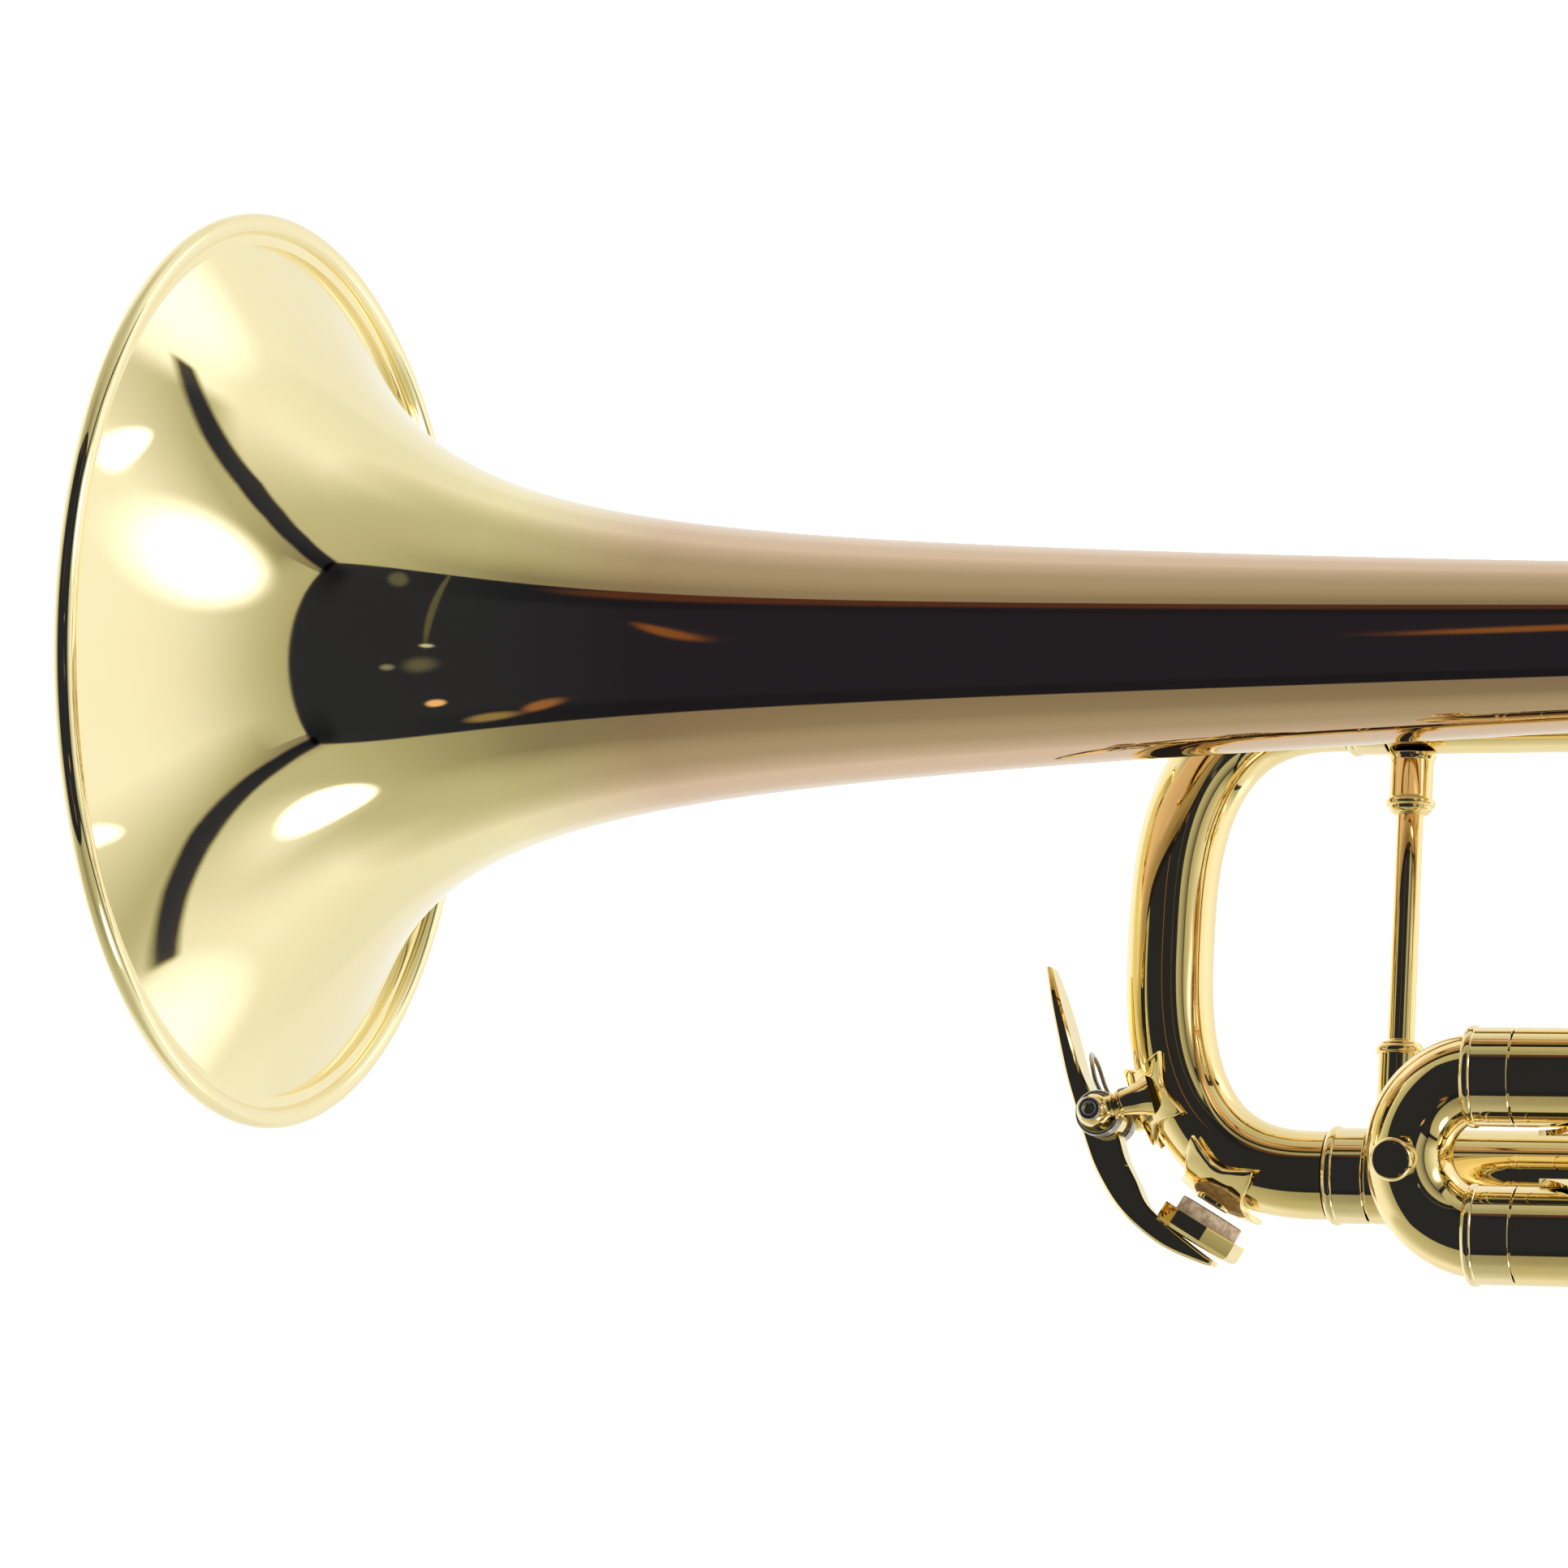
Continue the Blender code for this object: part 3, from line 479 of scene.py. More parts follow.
def make_bell():
    rim = on_axis("bell_flare", low("bell_flare").x)
    long = high("bell_stem").x - rim.x
    rim_radius = (high("bell_flare").z - low("bell_flare").z) / 2
    near, far = math.log(BELL_START + BELL_CROWDING), math.log(long + BELL_CROWDING)
    distances = []
    for i in range(BELL_STEPS + 1):
        distances.append(math.exp(near + (far - near) * i / BELL_STEPS) - BELL_CROWDING)
    outer = [(bell_radius(d), d) for d in reversed(distances)]
    centre = rim_radius - BEAD_RADIUS
    bead = []
    for i in range(BEAD_STEPS + 1):
        angle = math.radians(196 - 376 * i / BEAD_STEPS)
        bead.append((centre + BEAD_RADIUS * math.cos(angle), BEAD_RADIUS * (1 + math.sin(angle))))
    inner = [bell_inner(d) for d in distances if d > BELL_INNER_START]
    shape = lathe(outer + bead + inner, rim, (1, 0, 0), 256)
    finish_piece("bell_finish", [shape], "bell_flare", ("bell_flare", "bell_stem"), "bell_brass", 75)


def make_bell_bow():
    upper = on_axis("bell_stem", 0)
    tail_axis = Vector((0, 0, low("bell_bow").z + BOW_TUBE))
    reach = (Vector((0, upper.y, upper.z)) - tail_axis) / 2
    centre = (Vector((0, upper.y, upper.z)) + tail_axis) / 2
    centre.x = high("bell_bow").x - BOW_TUBE - reach.length
    bend = arc(centre, reach, Vector((reach.length, 0, 0)), 0, 180, 96)
    start = Vector((high("bell_stem").x + GAP, upper.y, upper.z))
    end = Vector((low("bell_bow").x, tail_axis.y, tail_axis.z))
    stand_in("bell_bow", tube([start] + bend + [end], BOW_TUBE, BELL_WALL, 72))
    ferrule = "bell_bow_ferrule"
    first, last = low(ferrule).x, high(ferrule).x
    profile = [
        (7.15, last), (7.4, last - 0.5), (7.15, last - 1.2), (7.0, last - 1.6), (7.0, first + 1.6),
        (7.15, first + 1.2), (7.4, first + 0.5), (7.15, first), (6.8, first), (6.8, last),
    ]
    stand_in(ferrule, lathe(profile, on_axis("bell_stem", 0), (1, 0, 0), 96, 0.2))


# ---------------------------------------------------------------------------- valves

THREADS = 14
THREAD_PITCH = 0.5
KNURLS = 60
KNURL_DEPTH = 0.22
CAP_SIDES = 240
SPRING_WIRE = 0.45
SPRING_RADIUS = 5.0
SPRING_TURNS = 5
SPRING_STEPS = 40  # points in one turn


def knurled(bottom, top):
    """A wave for lathe that cuts fine upright grooves between two heights."""
    def wave(angle, radius, height):
        if bottom < height < top:
            return radius - KNURL_DEPTH * (0.5 - 0.5 * math.cos(KNURLS * angle))
        return radius
    return wave


def make_casing(valve):
    node = f"valve_casing_{valve}"
    top = high(node).z
    profile = [(9.3, top)]
    for k in range(THREADS):
        height = top - 0.4 - k * THREAD_PITCH
        profile.extend([(9.3, height), (9.05, height - 0.25)])
    profile.extend([
        (9.3, 126.0), (10.5, 126.0), (10.6, 125.5), (10.6, 123.0), (10.35, 122.5), (10.35, 121.8),
        (10.6, 121.3), (10.6, 118.4), (10.2, 117.6), (10.2, 16.4), (10.5, 15.4), (10.6, 14.8),
        (10.6, 12.3), (10.4, 12.0), (9.3, 12.0), (9.3, 3.0), (8.6, 3.0), (8.6, top),
    ])
    stand_in(node, lathe(profile, under(node), (0, 0, 1), 96))


def make_caps(valve):
    node = f"bottom_cap_{valve}"
    centre = under(node)
    profile = [
        (0.0, 2.4), (9.6, 2.4), (9.6, 11.7), (10.9, 11.7), (11.2, 11.3), (11.2, 10.3), (10.9, 9.9),
        (10.9, 9.5), (11.15, 9.2), (11.15, 9.0), (11.15, 5.6), (11.15, 5.4), (10.9, 5.1), (10.9, 4.6),
        (11.1, 4.2), (11.0, 3.0), (10.6, 1.4), (9.8, 0.3), (9.4, 0.0), (5.2, 0.0), (4.6, 0.5),
        (2.6, 0.5), (2.0, 1.1), (0.0, 1.1),
    ]
    grooves = knurled(5.3, 9.15)
    stand_in(node, lathe(profile, centre, (0, 0, 1), CAP_SIDES, 0.12, grooves))
    node = f"top_cap_{valve}"
    base, top = low(node).z, high(node).z
    profile = [
        (4.6, top), (7.2, top), (8.2, top - 0.1), (9.6, top - 0.7), (10.6, top - 1.7),
        (10.9, top - 2.6), (10.7, top - 3.0), (10.7, top - 3.4), (10.95, top - 3.7),
        (10.95, top - 3.9), (10.95, base + 3.0), (10.95, base + 2.8), (10.7, base + 2.5),
        (10.7, base + 2.0), (11.0, base + 1.6), (11.0, base + 0.3), (10.8, base), (9.6, base),
        (9.6, top - 2.5), (4.6, top - 2.5),
    ]
    grooves = knurled(base + 2.7, top - 3.75)
    stand_in(node, lathe(profile, centre, (0, 0, 1), CAP_SIDES, 0.12, grooves))


def make_button_and_spring(valve):
    node = f"piston_{valve}"
    centre = under(node)
    button = f"finger_button_{valve}"
    base, top = low(button).z, high(button).z
    profile = [
        (0.0, top - 0.75), (3.0, top - 0.7), (5.0, top - 0.45), (5.9, top - 0.1), (6.5, top),
        (7.1, top - 0.35), (7.5, top - 1.0), (7.6, top - 1.6), (7.4, top - 2.3), (6.6, top - 2.8),
        (4.6, top - 3.5), (3.9, top - 4.2), (3.6, base + 0.5), (3.4, base), (0.0, base),
    ]
    stand_in(button, lathe(profile, centre, (0, 0, 1), 96, 0.25))
    spring = f"valve_spring_{valve}"
    bottom, ceiling = low(spring).z, high(spring).z
    count = SPRING_TURNS * SPRING_STEPS
    coil = []
    for i in range(count + 1):
        angle = 2 * math.pi * i / SPRING_STEPS
        height = bottom + SPRING_WIRE + (ceiling - bottom - 2 * SPRING_WIRE) * i / count
        across, along = SPRING_RADIUS * math.cos(angle), SPRING_RADIUS * math.sin(angle)
        coil.append(centre + Vector((across, along, height)))
    stand_in(spring, tube(coil, SPRING_WIRE, 0.0, 12))


# ---------------------------------------------------------------------------- leadpipe, mouthpiece

def make_leadpipe():
    node = "leadpipe"
    axis = on_axis(node, 0)
    start, end = low(node).x, high(node).x
    stand_in(node, lathe([(5.0, end), (6.0, start), (5.3, start), (4.3, end)], axis, (1, 0, 0), 96))
    node = "mouthpiece_receiver"
    start, end = low(node).x, high(node).x
    profile = [
        (7.3, end), (7.6, end - 0.4), (7.6, end - 1.6), (7.2, end - 2.0), (7.2, end - 2.4),
        (7.5, end - 2.8), (7.5, end - 3.9), (7.0, end - 4.5), (6.6, end - 6.0), (6.3, start + 16),
        (6.5, start + 14.6), (7.0, start + 13.8), (7.0, start + 12.6), (6.6, start + 12.2),
        (6.6, start + 11.8), (6.9, start + 11.4), (6.6, start + 10.6), (6.0, start + 9),
        (5.6, start), (3.9, start), (4.2, start + 11.7), (4.65, start + 12.7), (5.25, end),
    ]
    stand_in(node, lathe(profile, axis, (1, 0, 0), 96, 0.15))


def make_mouthpiece():
    node = "mouthpiece"
    tip, end = low(node).x, high(node).x - low(node).x
    outside = [
        (9.6, end - 1.1), (10.4, end - 0.3), (11.6, end), (12.7, end - 0.5), (13.4, end - 1.7),
        (13.5, end - 3.2), (13.2, end - 6), (12.5, end - 8.2), (12.2, end - 9.6), (12.45, end - 11.4),
        (12.4, end - 13.6), (11.2, end - 19.1), (8.4, end - 26.6), (6.4, end - 34), (5.5, end - 40),
        (4.9, end - 48.6), (5.0, end - 51.5),
    ]
    shank = [
        (5.6, end - 52.2), (5.75, end - 54), (5.5, end - 56.8), (4.9, end - 58.2), (4.3, 0.0), (3.4, 0.0),
    ]
    cup = [(1.9, 62.0), (1.9, 70.0), (3.6, 72.5), (6.6, 76.5), (8.0, 81.0), (8.5, 84.0), (9.0, 85.6)]
    profile = [tuple(p) for p in smooth_curve(outside, 5)] + shank + [tuple(p) for p in smooth_curve(cup, 4)]
    stand_in(node, lathe(profile, on_axis(node, tip), (1, 0, 0), 128))


# ---------------------------------------------------------------------------- tuning slide

OUTER_TUBE = 6.3
OUTER_WALL = 0.45
LEG_TUBE = 5.4
LEG_WALL = 0.5
CROOK_TUBE = 5.85
CROOK_POWER = 2.65

UPPER_LEG = middle("tuning_leg_upper")
LOWER_LEG = middle("tuning_leg_lower")
CROOK_SPAN = Vector((0, UPPER_LEG.y - LOWER_LEG.y, UPPER_LEG.z - LOWER_LEG.z))
CROOK_UP = CROOK_SPAN.normalized()
CROOK_HALF = CROOK_SPAN.length / 2
CROOK_MIDDLE = Vector((0, (UPPER_LEG.y + LOWER_LEG.y) / 2, (UPPER_LEG.z + LOWER_LEG.z) / 2))
CROOK_SIDE = Vector((1, 0, 0)).cross(CROOK_UP)
CROOK_START = high("tuning_crook").x


def in_crook(x, height, side=0.0):
    """A point from its X, its height along the crook's slanted axis and its distance to the left."""
    return CROOK_MIDDLE + Vector((x, 0, 0)) + CROOK_UP * height + CROOK_SIDE * side


def crook_path(count):
    """The crook's middle line: a squared-off half oval between the two legs."""
    centre = CROOK_START - 0.7
    depth = centre - low("tuning_crook").x - CROOK_TUBE
    points = [in_crook(CROOK_START, CROOK_HALF)]
    for i in range(count + 1):
        angle = math.pi * i / count
        reach = depth * math.sin(angle) ** (2 / CROOK_POWER)
        height = CROOK_HALF * abs(math.cos(angle)) ** (2 / CROOK_POWER)
        points.append(in_crook(centre - reach, math.copysign(height, math.cos(angle))))
    points.append(in_crook(CROOK_START, -CROOK_HALF))
    return evenly(points, 180)


def evenly(points, count):
    """The same path with its points at equal distances."""
    lengths = [0.0]
    for a, b in zip(points, points[1:]):
        lengths.append(lengths[-1] + (b - a).length)
    result = []
    k = 0
    for i in range(count + 1):
        goal = lengths[-1] * i / count
        while k < len(points) - 2 and lengths[k + 1] < goal:
            k += 1
        span = lengths[k + 1] - lengths[k]
        result.append(points[k].lerp(points[k + 1], (goal - lengths[k]) / span if span else 0.0))
    return result


def bead_points(radius, height, half, out=0.45):
    """A rounded bead that stands out from a rod, from its upper edge to its lower one."""
    points = []
    for i in range(9):
        angle = math.pi * i / 8
        points.append((radius + out * math.sin(angle), height + half * math.cos(angle)))
    return points


def ferrule_bead(height):
    return bead_points(OUTER_TUBE + 0.02, height, 0.55, 0.24)


def slide_leg(end, seam, front, step):
    """A slide leg and its ferrule: the leg runs back from the seam, and the ferrule holds the bow."""
    profile = [
        (LEG_TUBE, end), (LEG_TUBE, seam), (OUTER_TUBE - 0.15, seam), (OUTER_TUBE, seam - 0.2),
        (OUTER_TUBE, front + 1.45),
    ]
    profile.extend(ferrule_bead(front + 0.75))
    profile.extend([
        (OUTER_TUBE - 0.1, front), (OUTER_TUBE - 0.35, front), (OUTER_TUBE - 0.35, step),
        (LEG_TUBE - LEG_WALL, step), (LEG_TUBE - LEG_WALL, end),
    ])
    return profile


def outer_tube_profile(seam, end):
    """A slide's fixed tube, with the outer edge of its open end taken off."""
    r = OUTER_TUBE
    return [(r, end), (r, seam + 0.25), (r - 0.2, seam), (r - OUTER_WALL, seam), (r - OUTER_WALL, end)]


def make_tuning_slide():
    for name in ("upper", "lower"):
        outer = f"tuning_outer_{name}"
        axis = on_axis(outer, 0)
        stand_in(outer, lathe(outer_tube_profile(low(outer).x, high(outer).x), axis, (1, 0, 0), 128))
        leg = f"tuning_leg_{name}"
        profile = slide_leg(high(leg).x, low(outer).x - GAP, low(leg).x, CROOK_START + GAP)
        stand_in(leg, lathe(profile, on_axis(leg, 0), (1, 0, 0), 128))
    stand_in("tuning_crook", tube(crook_path(400), CROOK_TUBE, LEG_WALL, 96))


def make_tuning_brace():
    """The slanted brace between the two outer tubes: a rod in a beaded socket at each end."""
    top = CROOK_HALF - OUTER_TUBE - GAP
    profile = [(0.0, top), (3.3, top), (3.15, top - 0.4), (2.9, top - 0.8), (2.9, 19.2)]
    profile += bead_points(2.9, 18.4, 0.55) + [(2.85, 17.4), (2.3, 16.9), (1.8, 16.8)]
    profile += [(1.8, -13.6), (2.3, -13.7), (2.85, -14.0)] + bead_points(2.9, -14.9, 0.55)
    profile += [(2.9, -15.8), (2.9, 0.8 - top), (3.15, 0.4 - top), (3.3, -top), (0.0, -top)]
    middle_x = middle("tuning_brace").x
    stand_in("tuning_brace", lathe(profile, in_crook(middle_x, 0), CROOK_UP, 96, 0.15))


# ---------------------------------------------------------------------------- water key

KEY_PIVOT = middle("water_key_pivot")
KEY_FOOT = in_crook(-167.3, -22.4)  # on the crook's middle line, opposite the posts' feet
POST_BALL = 2.25
POST_SIDE = 6.2
CORK = middle("water_key_cork")
NIPPLE_TILT = math.radians(60)
NIPPLE_WAY = (Vector((-math.cos(NIPPLE_TILT), 0, 0)) - CROOK_UP * math.sin(NIPPLE_TILT)).normalized()
CROOK_LINE = crook_path(400)
CROOK_LENGTH = sum(((b - a).length for a, b in zip(CROOK_LINE, CROOK_LINE[1:])), 0.0)
CROOK_STEP = CROOK_LENGTH / (len(CROOK_LINE) - 1)


def nearest_on_crook(point):
    """The place along the crook's middle line that lies nearest to a point, as a point's number."""
    return min(range(len(CROOK_LINE)), key=lambda i: (CROOK_LINE[i] - point).length)


def on_crook(along_mm, angle, radius):
    """A point on the crook, by its distance along it, its angle round it and its radius."""
    place = min(max(along_mm / CROOK_STEP, 0.0), len(CROOK_LINE) - 1.001)
    k = int(place)
    here = CROOK_LINE[k].lerp(CROOK_LINE[k + 1], place - k)
    way = (CROOK_LINE[min(k + 2, len(CROOK_LINE) - 1)] - CROOK_LINE[max(k - 1, 0)]).normalized()
    out = way.cross(CROOK_SIDE).normalized()
    if out.x > 0 and abs(way.x) < 0.95:
        out = -out
    return here + out * (radius * math.cos(angle)) + CROOK_SIDE * (radius * math.sin(angle))


def star_foot(surface, half_long, half_wide, bottom, top):
    """A thin square foot with hollow sides, laid on a curved surface.

    surface(u, v, height) gives the point u along, v across and height above; the tips are diagonal.
    """
    spokes, rings = 48, 8
    outline = []
    for k in range(spokes):
        angle = 2 * math.pi * k / spokes
        to_tip = abs((angle / (math.pi / 2)) % 1.0 - 0.5) * 2
        reach = 0.74 + 0.68 * (1 - to_tip) ** 2.2
        outline.append((reach * math.cos(angle), reach * math.sin(angle)))
    points, faces = [], []
    heights = [(f / rings, top) for f in range(1, rings + 1)] + [(1.05, top - 0.2), (1.05, bottom)]
    points.append(surface(0, 0, top))
    for fraction, height in heights:
        for x, y in outline:
            points.append(surface(x * fraction * half_long, y * fraction * half_wide, height))
    points.append(surface(0, 0, bottom))
    for k in range(spokes):
        n = (k + 1) % spokes
        faces.append((0, 1 + k, 1 + n))
        for level in range(len(heights) - 1):
            a, b = 1 + level * spokes, 1 + (level + 1) * spokes
            faces.append((a + k, b + k, b + n, a + n))
        last = 1 + (len(heights) - 1) * spokes
        faces.append((last + k, len(points) - 1, last + n))
    return outward((points, faces))


def outward(shape):
    """A closed shape with its faces turned to point out."""
    points, faces = shape
    volume = 0.0
    for face in faces:
        for k in range(1, len(face) - 1):
            volume += points[face[0]].dot(points[face[k]].cross(points[face[k + 1]]))
    return (points, faces) if volume > 0 else (points, [tuple(reversed(face)) for face in faces])


def crook_foot(point, angle, half_long, half_angle):
    """A star foot on the crook, centred opposite a point and turned round the tube by an angle."""
    centre = nearest_on_crook(point) * CROOK_STEP

    def surface(u, v, height):
        """Half bent round the tube and half flat, as a soft-soldered plate sits."""
        radius = CROOK_TUBE + height
        middle_line = on_crook(centre + u, angle, radius)
        ahead = on_crook(centre + u, angle + 0.01, radius)
        flat = middle_line + (ahead - middle_line).normalized() * (v * CROOK_TUBE)
        return on_crook(centre + u, angle + v, radius).lerp(flat, 0.5)
    return star_foot(surface, half_long, half_angle, 0.02, 0.9)


def make_nipple():
    foot = middle("water_key_nipple") - NIPPLE_WAY * 6.9
    start = CROOK_LINE[nearest_on_crook(foot)]
    begin = (start - foot).dot(NIPPLE_WAY) + CROOK_TUBE - 0.3
    profile = [
        (2.3, 7.6), (2.45, 7.35), (2.45, 6.6), (2.6, 6.4), (2.6, 6.1), (2.45, 5.9), (2.45, begin + 1.0),
        (2.7, begin + 0.5), (3.1, begin), (1.0, begin), (1.0, 7.6),
    ]
    flange = crook_foot(foot, math.radians(28), 4.3, math.radians(58))
    stand_in("water_key_nipple", lathe(profile, foot, NIPPLE_WAY, 64, 0.06), flange)


def make_posts():
    """Two posts with ball ends hold the pivot, each on a star-shaped foot that hugs the crook."""
    for name, side in (("near", 1), ("far", -1)):
        node = f"water_key_post_{name}"
        ball = KEY_PIVOT + CROOK_SIDE * (POST_SIDE * side)
        turned_by = math.radians(50) * side
        centre = nearest_on_crook(KEY_FOOT) * CROOK_STEP
        foot = on_crook(centre, turned_by, CROOK_TUBE + 0.1)
        way = foot - ball
        long = way.length
        profile = [
            (0.0, long), (2.9, long), (2.7, long - 0.5), (2.25, long - 1.3), (1.9, long - 2.4), (1.62, 4.0),
        ]
        for height in (3.55, 2.75):
            profile += [
                (1.55, height + 0.3), (1.85, height + 0.12), (1.85, height - 0.12), (1.55, height - 0.3),
            ]
        profile.append((1.45, 2.2))
        for i in range(17):
            angle = math.radians(50 - 140 * i / 16)
            profile.append((POST_BALL * math.cos(angle), POST_BALL * math.sin(angle)))
        profile[-1] = (0.0, -POST_BALL)
        flange = crook_foot(KEY_FOOT, turned_by, 4.2, math.radians(38))
        stand_in(node, lathe(profile, ball, way, 64), flange)


def make_pivot():
    """The pivot rod, and the socket head that closes each post's ball."""
    shapes = [lathe([(0.0, 6.0), (1.0, 6.0), (1.0, -6.0), (0.0, -6.0)], KEY_PIVOT, CROOK_SIDE, 32)]
    reach = POST_SIDE + POST_BALL + 0.1
    for side in (1, -1):
        way = CROOK_SIDE * side
        rim = [
            (1.25, reach), (1.5, reach - 0.1), (1.5, reach - 1.6), (0.85, reach - 1.6),
            (0.85, reach - 0.1), (0.95, reach),
        ]
        floor = [(0.0, reach - 1.1), (0.9, reach - 1.1), (0.9, reach - 1.6), (0.0, reach - 1.6)]
        shapes += [lathe(rim, KEY_PIVOT, way, 48, 0.05), lathe(floor, KEY_PIVOT, way, 24)]
    stand_in("water_key_pivot", *shapes)


def key_point(angle, radius, side):
    """A point round the pivot: its angle from +X towards the crook's upper end."""
    return (KEY_PIVOT + Vector((math.cos(angle) * radius, 0, 0)) + CROOK_UP * (math.sin(angle) * radius)
            + CROOK_SIDE * side)


def make_spring():
    """The return spring: three turns each side of the lever, with a loop that presses on it."""
    wire = 0.34
    turns = 3
    steps = 32  # points in one turn
    shapes = []
    for side in (1, -1):
        path = [in_crook(-168.4, -20.6, side * 3.6), in_crook(-170.4, -21.2, side * 3.9)]
        start = math.radians(60)
        for i in range(turns * steps + 1):
            angle = start - 2 * math.pi * i / steps
            path.append(key_point(angle, 2.75, side * (2.45 + wire * 2.15 * i / steps)))
        shapes.append(tube(path, wire, 0.0, 12))
    stand_in("water_key_spring", *shapes)
    half_loop = ((-173.4, -21.3, 2.4), (-174.3, -19.6, 2.3), (-175.1, -17.2, 1.7), (-175.6, -15.9, 0.6))
    spots = [in_crook(x, height, side) for x, height, side in half_loop]
    spots += [in_crook(x, height, -side) for x, height, side in reversed(half_loop)]
    loop = smooth_curve(spots, 6)
    finish_piece("water_key_spring_loop", [tube(loop, wire, 0.0, 12)], "water_key_lever", (), "steel")


def make_lever():
    """The key: a thin, wide touch at the top that narrows to an arm and ends in the cork's cup."""
    outer = [
        (-182.3, -4.0), (-181.3, -8.0), (-180.2, -12.2), (-178.6, -18.5), (-177.4, -22.4), (-175.6, -27.6),
        (-173.8, -31.7), (-171.0, -36.0), (-167.9, -39.0), (-163.9, -41.7), (-159.0, -43.6), (-157.5, -43.9),
    ]
    inner = [
        (-181.5, -4.1), (-180.0, -8.0), (-178.5, -12.2), (-176.4, -18.2), (-174.0, -22.6), (-171.3, -26.0),
        (-169.9, -29.8), (-168.2, -32.9), (-166.4, -36.2), (-162.3, -39.6), (-158.2, -42.6), (-157.2, -43.2),
    ]
    half = (1.8, 2.9, 3.2, 2.8, 2.2, 2.0, 2.0, 1.9, 1.9, 1.8, 1.8, 1.4)
    first = smooth_curve([(x, height, wide) for (x, height), wide in zip(outer, half)], 6)
    second = smooth_curve([(x, height, 0.0) for x, height in inner], 6)
    rings = []
    for a, b in zip(first, second):
        across = Vector((b.x - a.x, b.y - a.y))
        thick = across.length
        c = min(0.35, 0.3 * thick)
        n = across.normalized()
        w = a.z
        ring = []
        for t, side in ((0, w - c), (c, w), (thick - c, w), (thick, w - c), (thick, c - w), (thick - c, -w),
                        (c, -w), (0, c - w)):
            ring.append(in_crook(a.x + n.x * t, a.y + n.y * t, side))
        rings.append(ring)
    barrel = lathe([(0.0, 2.2), (2.6, 2.2), (2.6, -2.2), (0.0, -2.2)], KEY_PIVOT, CROOK_SIDE, 64, 0.2)
    root = CORK - NIPPLE_WAY * 9.2
    cup = [
        (0.0, 12.6), (5.0, 12.6), (5.7, 12.4), (6.1, 11.9), (6.1, 10.0), (6.0, 9.8), (5.0, 9.8),
        (4.85, 9.95), (4.85, 10.8), (0.0, 10.8),
    ]
    dish = lathe(cup, root, NIPPLE_WAY, 8, spin=math.pi / 8)
    stand_in("water_key_lever", loft(rings), barrel, dish, sharp=30)
    pad = [(0.0, 10.5), (4.4, 10.5), (4.5, 10.3), (4.5, 8.1), (4.35, 7.9), (0.0, 7.9)]
    stand_in("water_key_cork", lathe(pad, root, NIPPLE_WAY, 48, 0.1))


# ---------------------------------------------------------------------------- slides

THIRD_Y = middle("third_leg_upper").y
FIRST_Y = middle("first_slide").y
CASING_REACH = 10.7  # from a valve's axis to where a tube leaves its casing


def knuckle(node, sign, angle):
    """A fixed tube's path: from the casing's side it bends to run along X to its open end."""
    valve = "valve_casing_3" if sign < 0 else "valve_casing_1"
    casing = middle(valve)
    seam = low(node).x if sign < 0 else high(node).x
    height = (low(node).z + high(node).z) / 2
    axis_y = THIRD_Y if sign < 0 else FIRST_Y
    turn = math.radians(angle)
    start_x = casing.x + sign * CASING_REACH * math.cos(turn)
    start_y = -CASING_REACH * math.sin(turn)
    bend = (start_y - axis_y) / (1 - math.cos(turn))
    centre = Vector((start_x + sign * bend * math.sin(turn), axis_y + bend, height))
    path = arc(centre, (0, -bend, 0), (-sign * bend, 0, 0), angle, 0, 40)
    return path + [Vector((seam, axis_y, height))]


def make_third_slide():
    upper, lower = middle("third_leg_upper"), middle("third_leg_lower")
    half = (upper.z - lower.z) / 2
    for name in ("upper", "lower"):
        outer = f"third_outer_{name}"
        stand_in(outer, tube(knuckle(outer, -1, 55), OUTER_TUBE, OUTER_WALL, 96))
        leg = f"third_leg_{name}"
        step = high("third_slide_bow").x + GAP
        profile = slide_leg(high(leg).x, low(outer).x - GAP, low(leg).x, step)
        stand_in(leg, lathe(profile, on_axis(leg, 0), (1, 0, 0), 128))
    bow = "third_slide_bow"
    radius = 5.6
    centre = Vector((low(bow).x + radius + half, THIRD_Y, (upper.z + lower.z) / 2))
    bend = arc(centre, (0, 0, half), (-half, 0, 0), 0, 180, 72)
    lead = Vector((high(bow).x - centre.x, 0, 0))
    apex = centre - Vector((half, 0, 0))
    knob = lathe(knob_profile(apex.y - low(bow).y, radius), apex, (0, -1, 0), 64, 0.08)
    stand_in(bow, tube([bend[0] + lead, *bend, bend[-1] + lead], radius, LEG_WALL, 96), knob)
    make_diamond_brace("third_slide_brace", 1.7)
    hoop = "third_finger_ring"
    place = middle(hoop)
    outer_radius = (high(hoop).z - low(hoop).z) / 2
    profile = []
    for i in range(24):
        angle = 2 * math.pi * i / 24
        profile.append((outer_radius - 1.2 + 1.2 * math.cos(angle), -1.9 * math.sin(angle)))
    stand_in(hoop, lathe(profile, place, (0, 1, 0), 128))


def knob_profile(end, tube_radius):
    """A short pull knob: its waist, head and softly rounded face, out to a height of end."""
    foot = tube_radius
    return [
        (0.0, end), (2.0, end), (2.45, end - 0.15), (2.75, end - 0.55), (2.8, end - 1.0), (2.8, foot + 1.9),
        (2.6, foot + 1.3), (1.7, foot + 0.9), (1.6, foot + 0.5), (1.9, foot), (2.2, foot - 0.4),
        (0.0, foot - 0.4),
    ]


